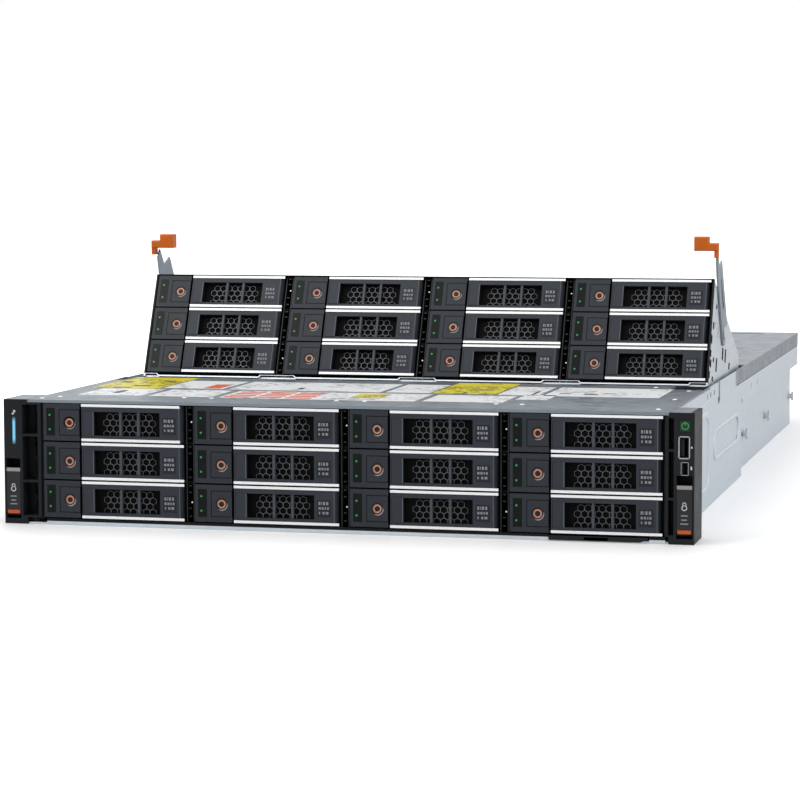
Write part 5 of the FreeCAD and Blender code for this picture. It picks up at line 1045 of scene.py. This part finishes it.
def shadow_patches(name, wall, spots, place, body):
    """Thin black patches on a side wall, painted shadow for the slots' dark inside: low and high corner = spot -+
    half its length and height.
    """
    side = math.copysign(1.0, wall)
    y, z, length, height = np.array(spots, float).T
    near, far = sorted((wall - 0.3 * side, wall + PROUD * side))
    lows = np.stack([np.full(len(y), near), y - length / 2, z - height / 2], -1)
    highs = np.stack([np.full(len(y), far), y + length / 2, z + height / 2], -1)
    return blocks(name, lows, highs, place, SHADOW, body, slot="cage_steel")


for side, label in ((-1, "left"), (1, "right")):
    # painted shadow patches for the small slots in the walls and the bay plates
    shadow_patches("wall_slot_shadows_" + label, WALL * side, WALL_SLOT_SHADOWS, row_frame, "chassis")
    shadow_patches("plate_marks_bay_" + label, PLATE_OUTSIDE[side], PLATE_SLOT_SHADOWS, bay_frame, "mid_bay")
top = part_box("rear_cover")[1].z / MM
line = rounded_path([[-203, 450, top], [-203, 604, top], [203, 604, top], [203, 450, top]], 8.0)
bead("cover_bead", line, 5.0, 0.6, (0, 0, 1), FINISH["cover_steel"], "cover_rear", "cover_steel")
print("black patches:", len(WALL_SLOT_SHADOWS) + len(PLATE_SLOT_SHADOWS), "on each side")

# %% [markdown]
# ## Studio
# A plain pale floor, an even white surround and three soft lamps. The surround is white to the camera and in
# reflections, which gives metal something to mirror, but it lights the object at a lower level, so
# a colour renders about as it is written. The floor adds light of its own for the camera only, more
# of it away from the body, and keeps the object's shadow.

# %% World and floor
AMBIENT = 0.45                                          # the surround's light on the object; it is seen at 1
FLOOR_HALF, FLOOR_DROP = 30.0, 0.0002
WHITE = (1.0, 1.0, 1.0, 1.0)


def white_where_seen(tree):
    """1 for rays from the camera, and for those that a mirror or glass sends on."""
    rays = put(tree, "ShaderNodeLightPath").outputs
    seen = maths(tree, "MAXIMUM", rays["Is Camera Ray"], rays["Is Glossy Ray"])
    return maths(tree, "MAXIMUM", seen, rays["Is Transmission Ray"])


world = bpy.data.worlds.new("studio")
bpy.context.scene.world = world
world.use_nodes = True
tree = world.node_tree
background = tree.nodes["Background"]
background.inputs["Color"].default_value = WHITE
tree.links.new(maths(tree, "MULTIPLY_ADD", white_where_seen(tree), 1 - AMBIENT, AMBIENT),
               background.inputs["Strength"])

floor_mesh = bpy.data.meshes.new("floor")
floor_mesh.from_pydata([(x * FLOOR_HALF, y * FLOOR_HALF, CAD_LOW.z - FLOOR_DROP)
                        for x, y in ((-1, -1), (1, -1), (1, 1), (-1, 1))], [], [(0, 1, 2, 3)])
floor = bpy.data.objects.new("floor", floor_mesh)
bpy.context.scene.collection.objects.link(floor)
floor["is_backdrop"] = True
material, tree, shader, where = base("pale_floor")
shader.inputs["Base Color"].default_value = (0.86, 0.86, 0.87, 1.0)
shader.inputs["Roughness"].default_value = 0.5
beyond = on_vectors(tree, "SUBTRACT", on_vectors(tree, "ABSOLUTE", where), (CAD_HIGH.x, CAD_HIGH.y, 0.0))
away = on_vectors(tree, "LENGTH", on_vectors(tree, "MAXIMUM", beyond))
glow = maths(tree, "MULTIPLY_ADD", fade(tree, away, 0.0, 0.4), 0.8, 0.2)
tree.links.new(maths(tree, "MULTIPLY", put(tree, "ShaderNodeLightPath").outputs["Is Camera Ray"], glow),
               shader.inputs["Emission Strength"])
shader.inputs["Emission Color"].default_value = WHITE
floor_mesh.materials.append(material)
print("floor at z, m:", round(CAD_LOW.z - FLOOR_DROP, 4))

# %% [markdown]
# ## Lamps
# Three large soft boxes: the key from the front left, a weaker fill from the front right and one above.
# Large lamps give broad soft reflections in the sheet, and plain levels keep pale steel below white.

# %% Lamps
def softbox(name, spot, towards, size, power):
    """A square area lamp that faces a point: yaw and pitch come from the aim by arc tangents."""
    light = bpy.data.lights.new(name, "AREA")
    light.size, light.energy = size, power
    box = bpy.data.objects.new(name, light)
    bpy.context.scene.collection.objects.link(box)
    aim = np.asarray(towards, float) - np.asarray(spot, float)
    box.location = spot
    yaw, pitch = math.atan2(-aim[0], aim[1]), math.atan2(aim[2], math.hypot(aim[0], aim[1]))
    box.rotation_euler = (math.pi / 2 + pitch, 0.0, yaw)
    return box


softbox("key", (-1.6, -1.8, 2.2), (0.0, 0.0, 0.05), 1.6, 30.0)
softbox("fill", (2.2, -1.2, 1.4), (0.0, 0.0, 0.05), 1.8, 19.0)
softbox("top", (0.0, 0.4, 2.6), (0.0, 0.1, 0.05), 2.2, 17.0)
print("lamps, W:", [light.energy for light in bpy.data.lights])

# %% [markdown]
# ## Camera
# A long lens from the front right and a little above, close to how such a server is shown on a
# page: the front reads almost square, and one side and the covers still show how deep it is.

# %% Camera
LENS, SENSOR = 121.23, 36.0                             # mm
YAW, PITCH, ROLL = math.radians(14.09), math.radians(5.077), math.radians(-0.14)
camera_data = bpy.data.cameras.new("camera")
camera_data.lens, camera_data.sensor_width = LENS, SENSOR
camera_data.clip_start, camera_data.clip_end = 0.05, 100.0
camera = bpy.data.objects.new("camera", camera_data)
bpy.context.scene.collection.objects.link(camera)
camera.location = (0.480, FRONT - 1.741, 0.251)
camera.rotation_euler = (Matrix.Rotation(YAW, 3, "Z") @ Matrix.Rotation(math.pi / 2 - PITCH, 3, "X")
                         @ Matrix.Rotation(ROLL, 3, "Z")).to_euler()
bpy.context.scene.camera = camera
bpy.context.scene.view_settings.view_transform = "Standard"
print("lens, mm:", round(LENS, 1))

# %% [markdown]
# ## The last measure
# The boxes of the CAD model and of the visual model are set side by side, and the pieces and their
# faces are counted. The visual model has to stay inside the box of the CAD model.

# %% Sizes, and the count of pieces
bpy.context.view_layer.update()
low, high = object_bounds()
{"cad": [list(CAD_LOW), list(CAD_HIGH)], "visual": [list(low), list(high)]}
print("pieces:", len(made), "faces:", sum(made.values()))
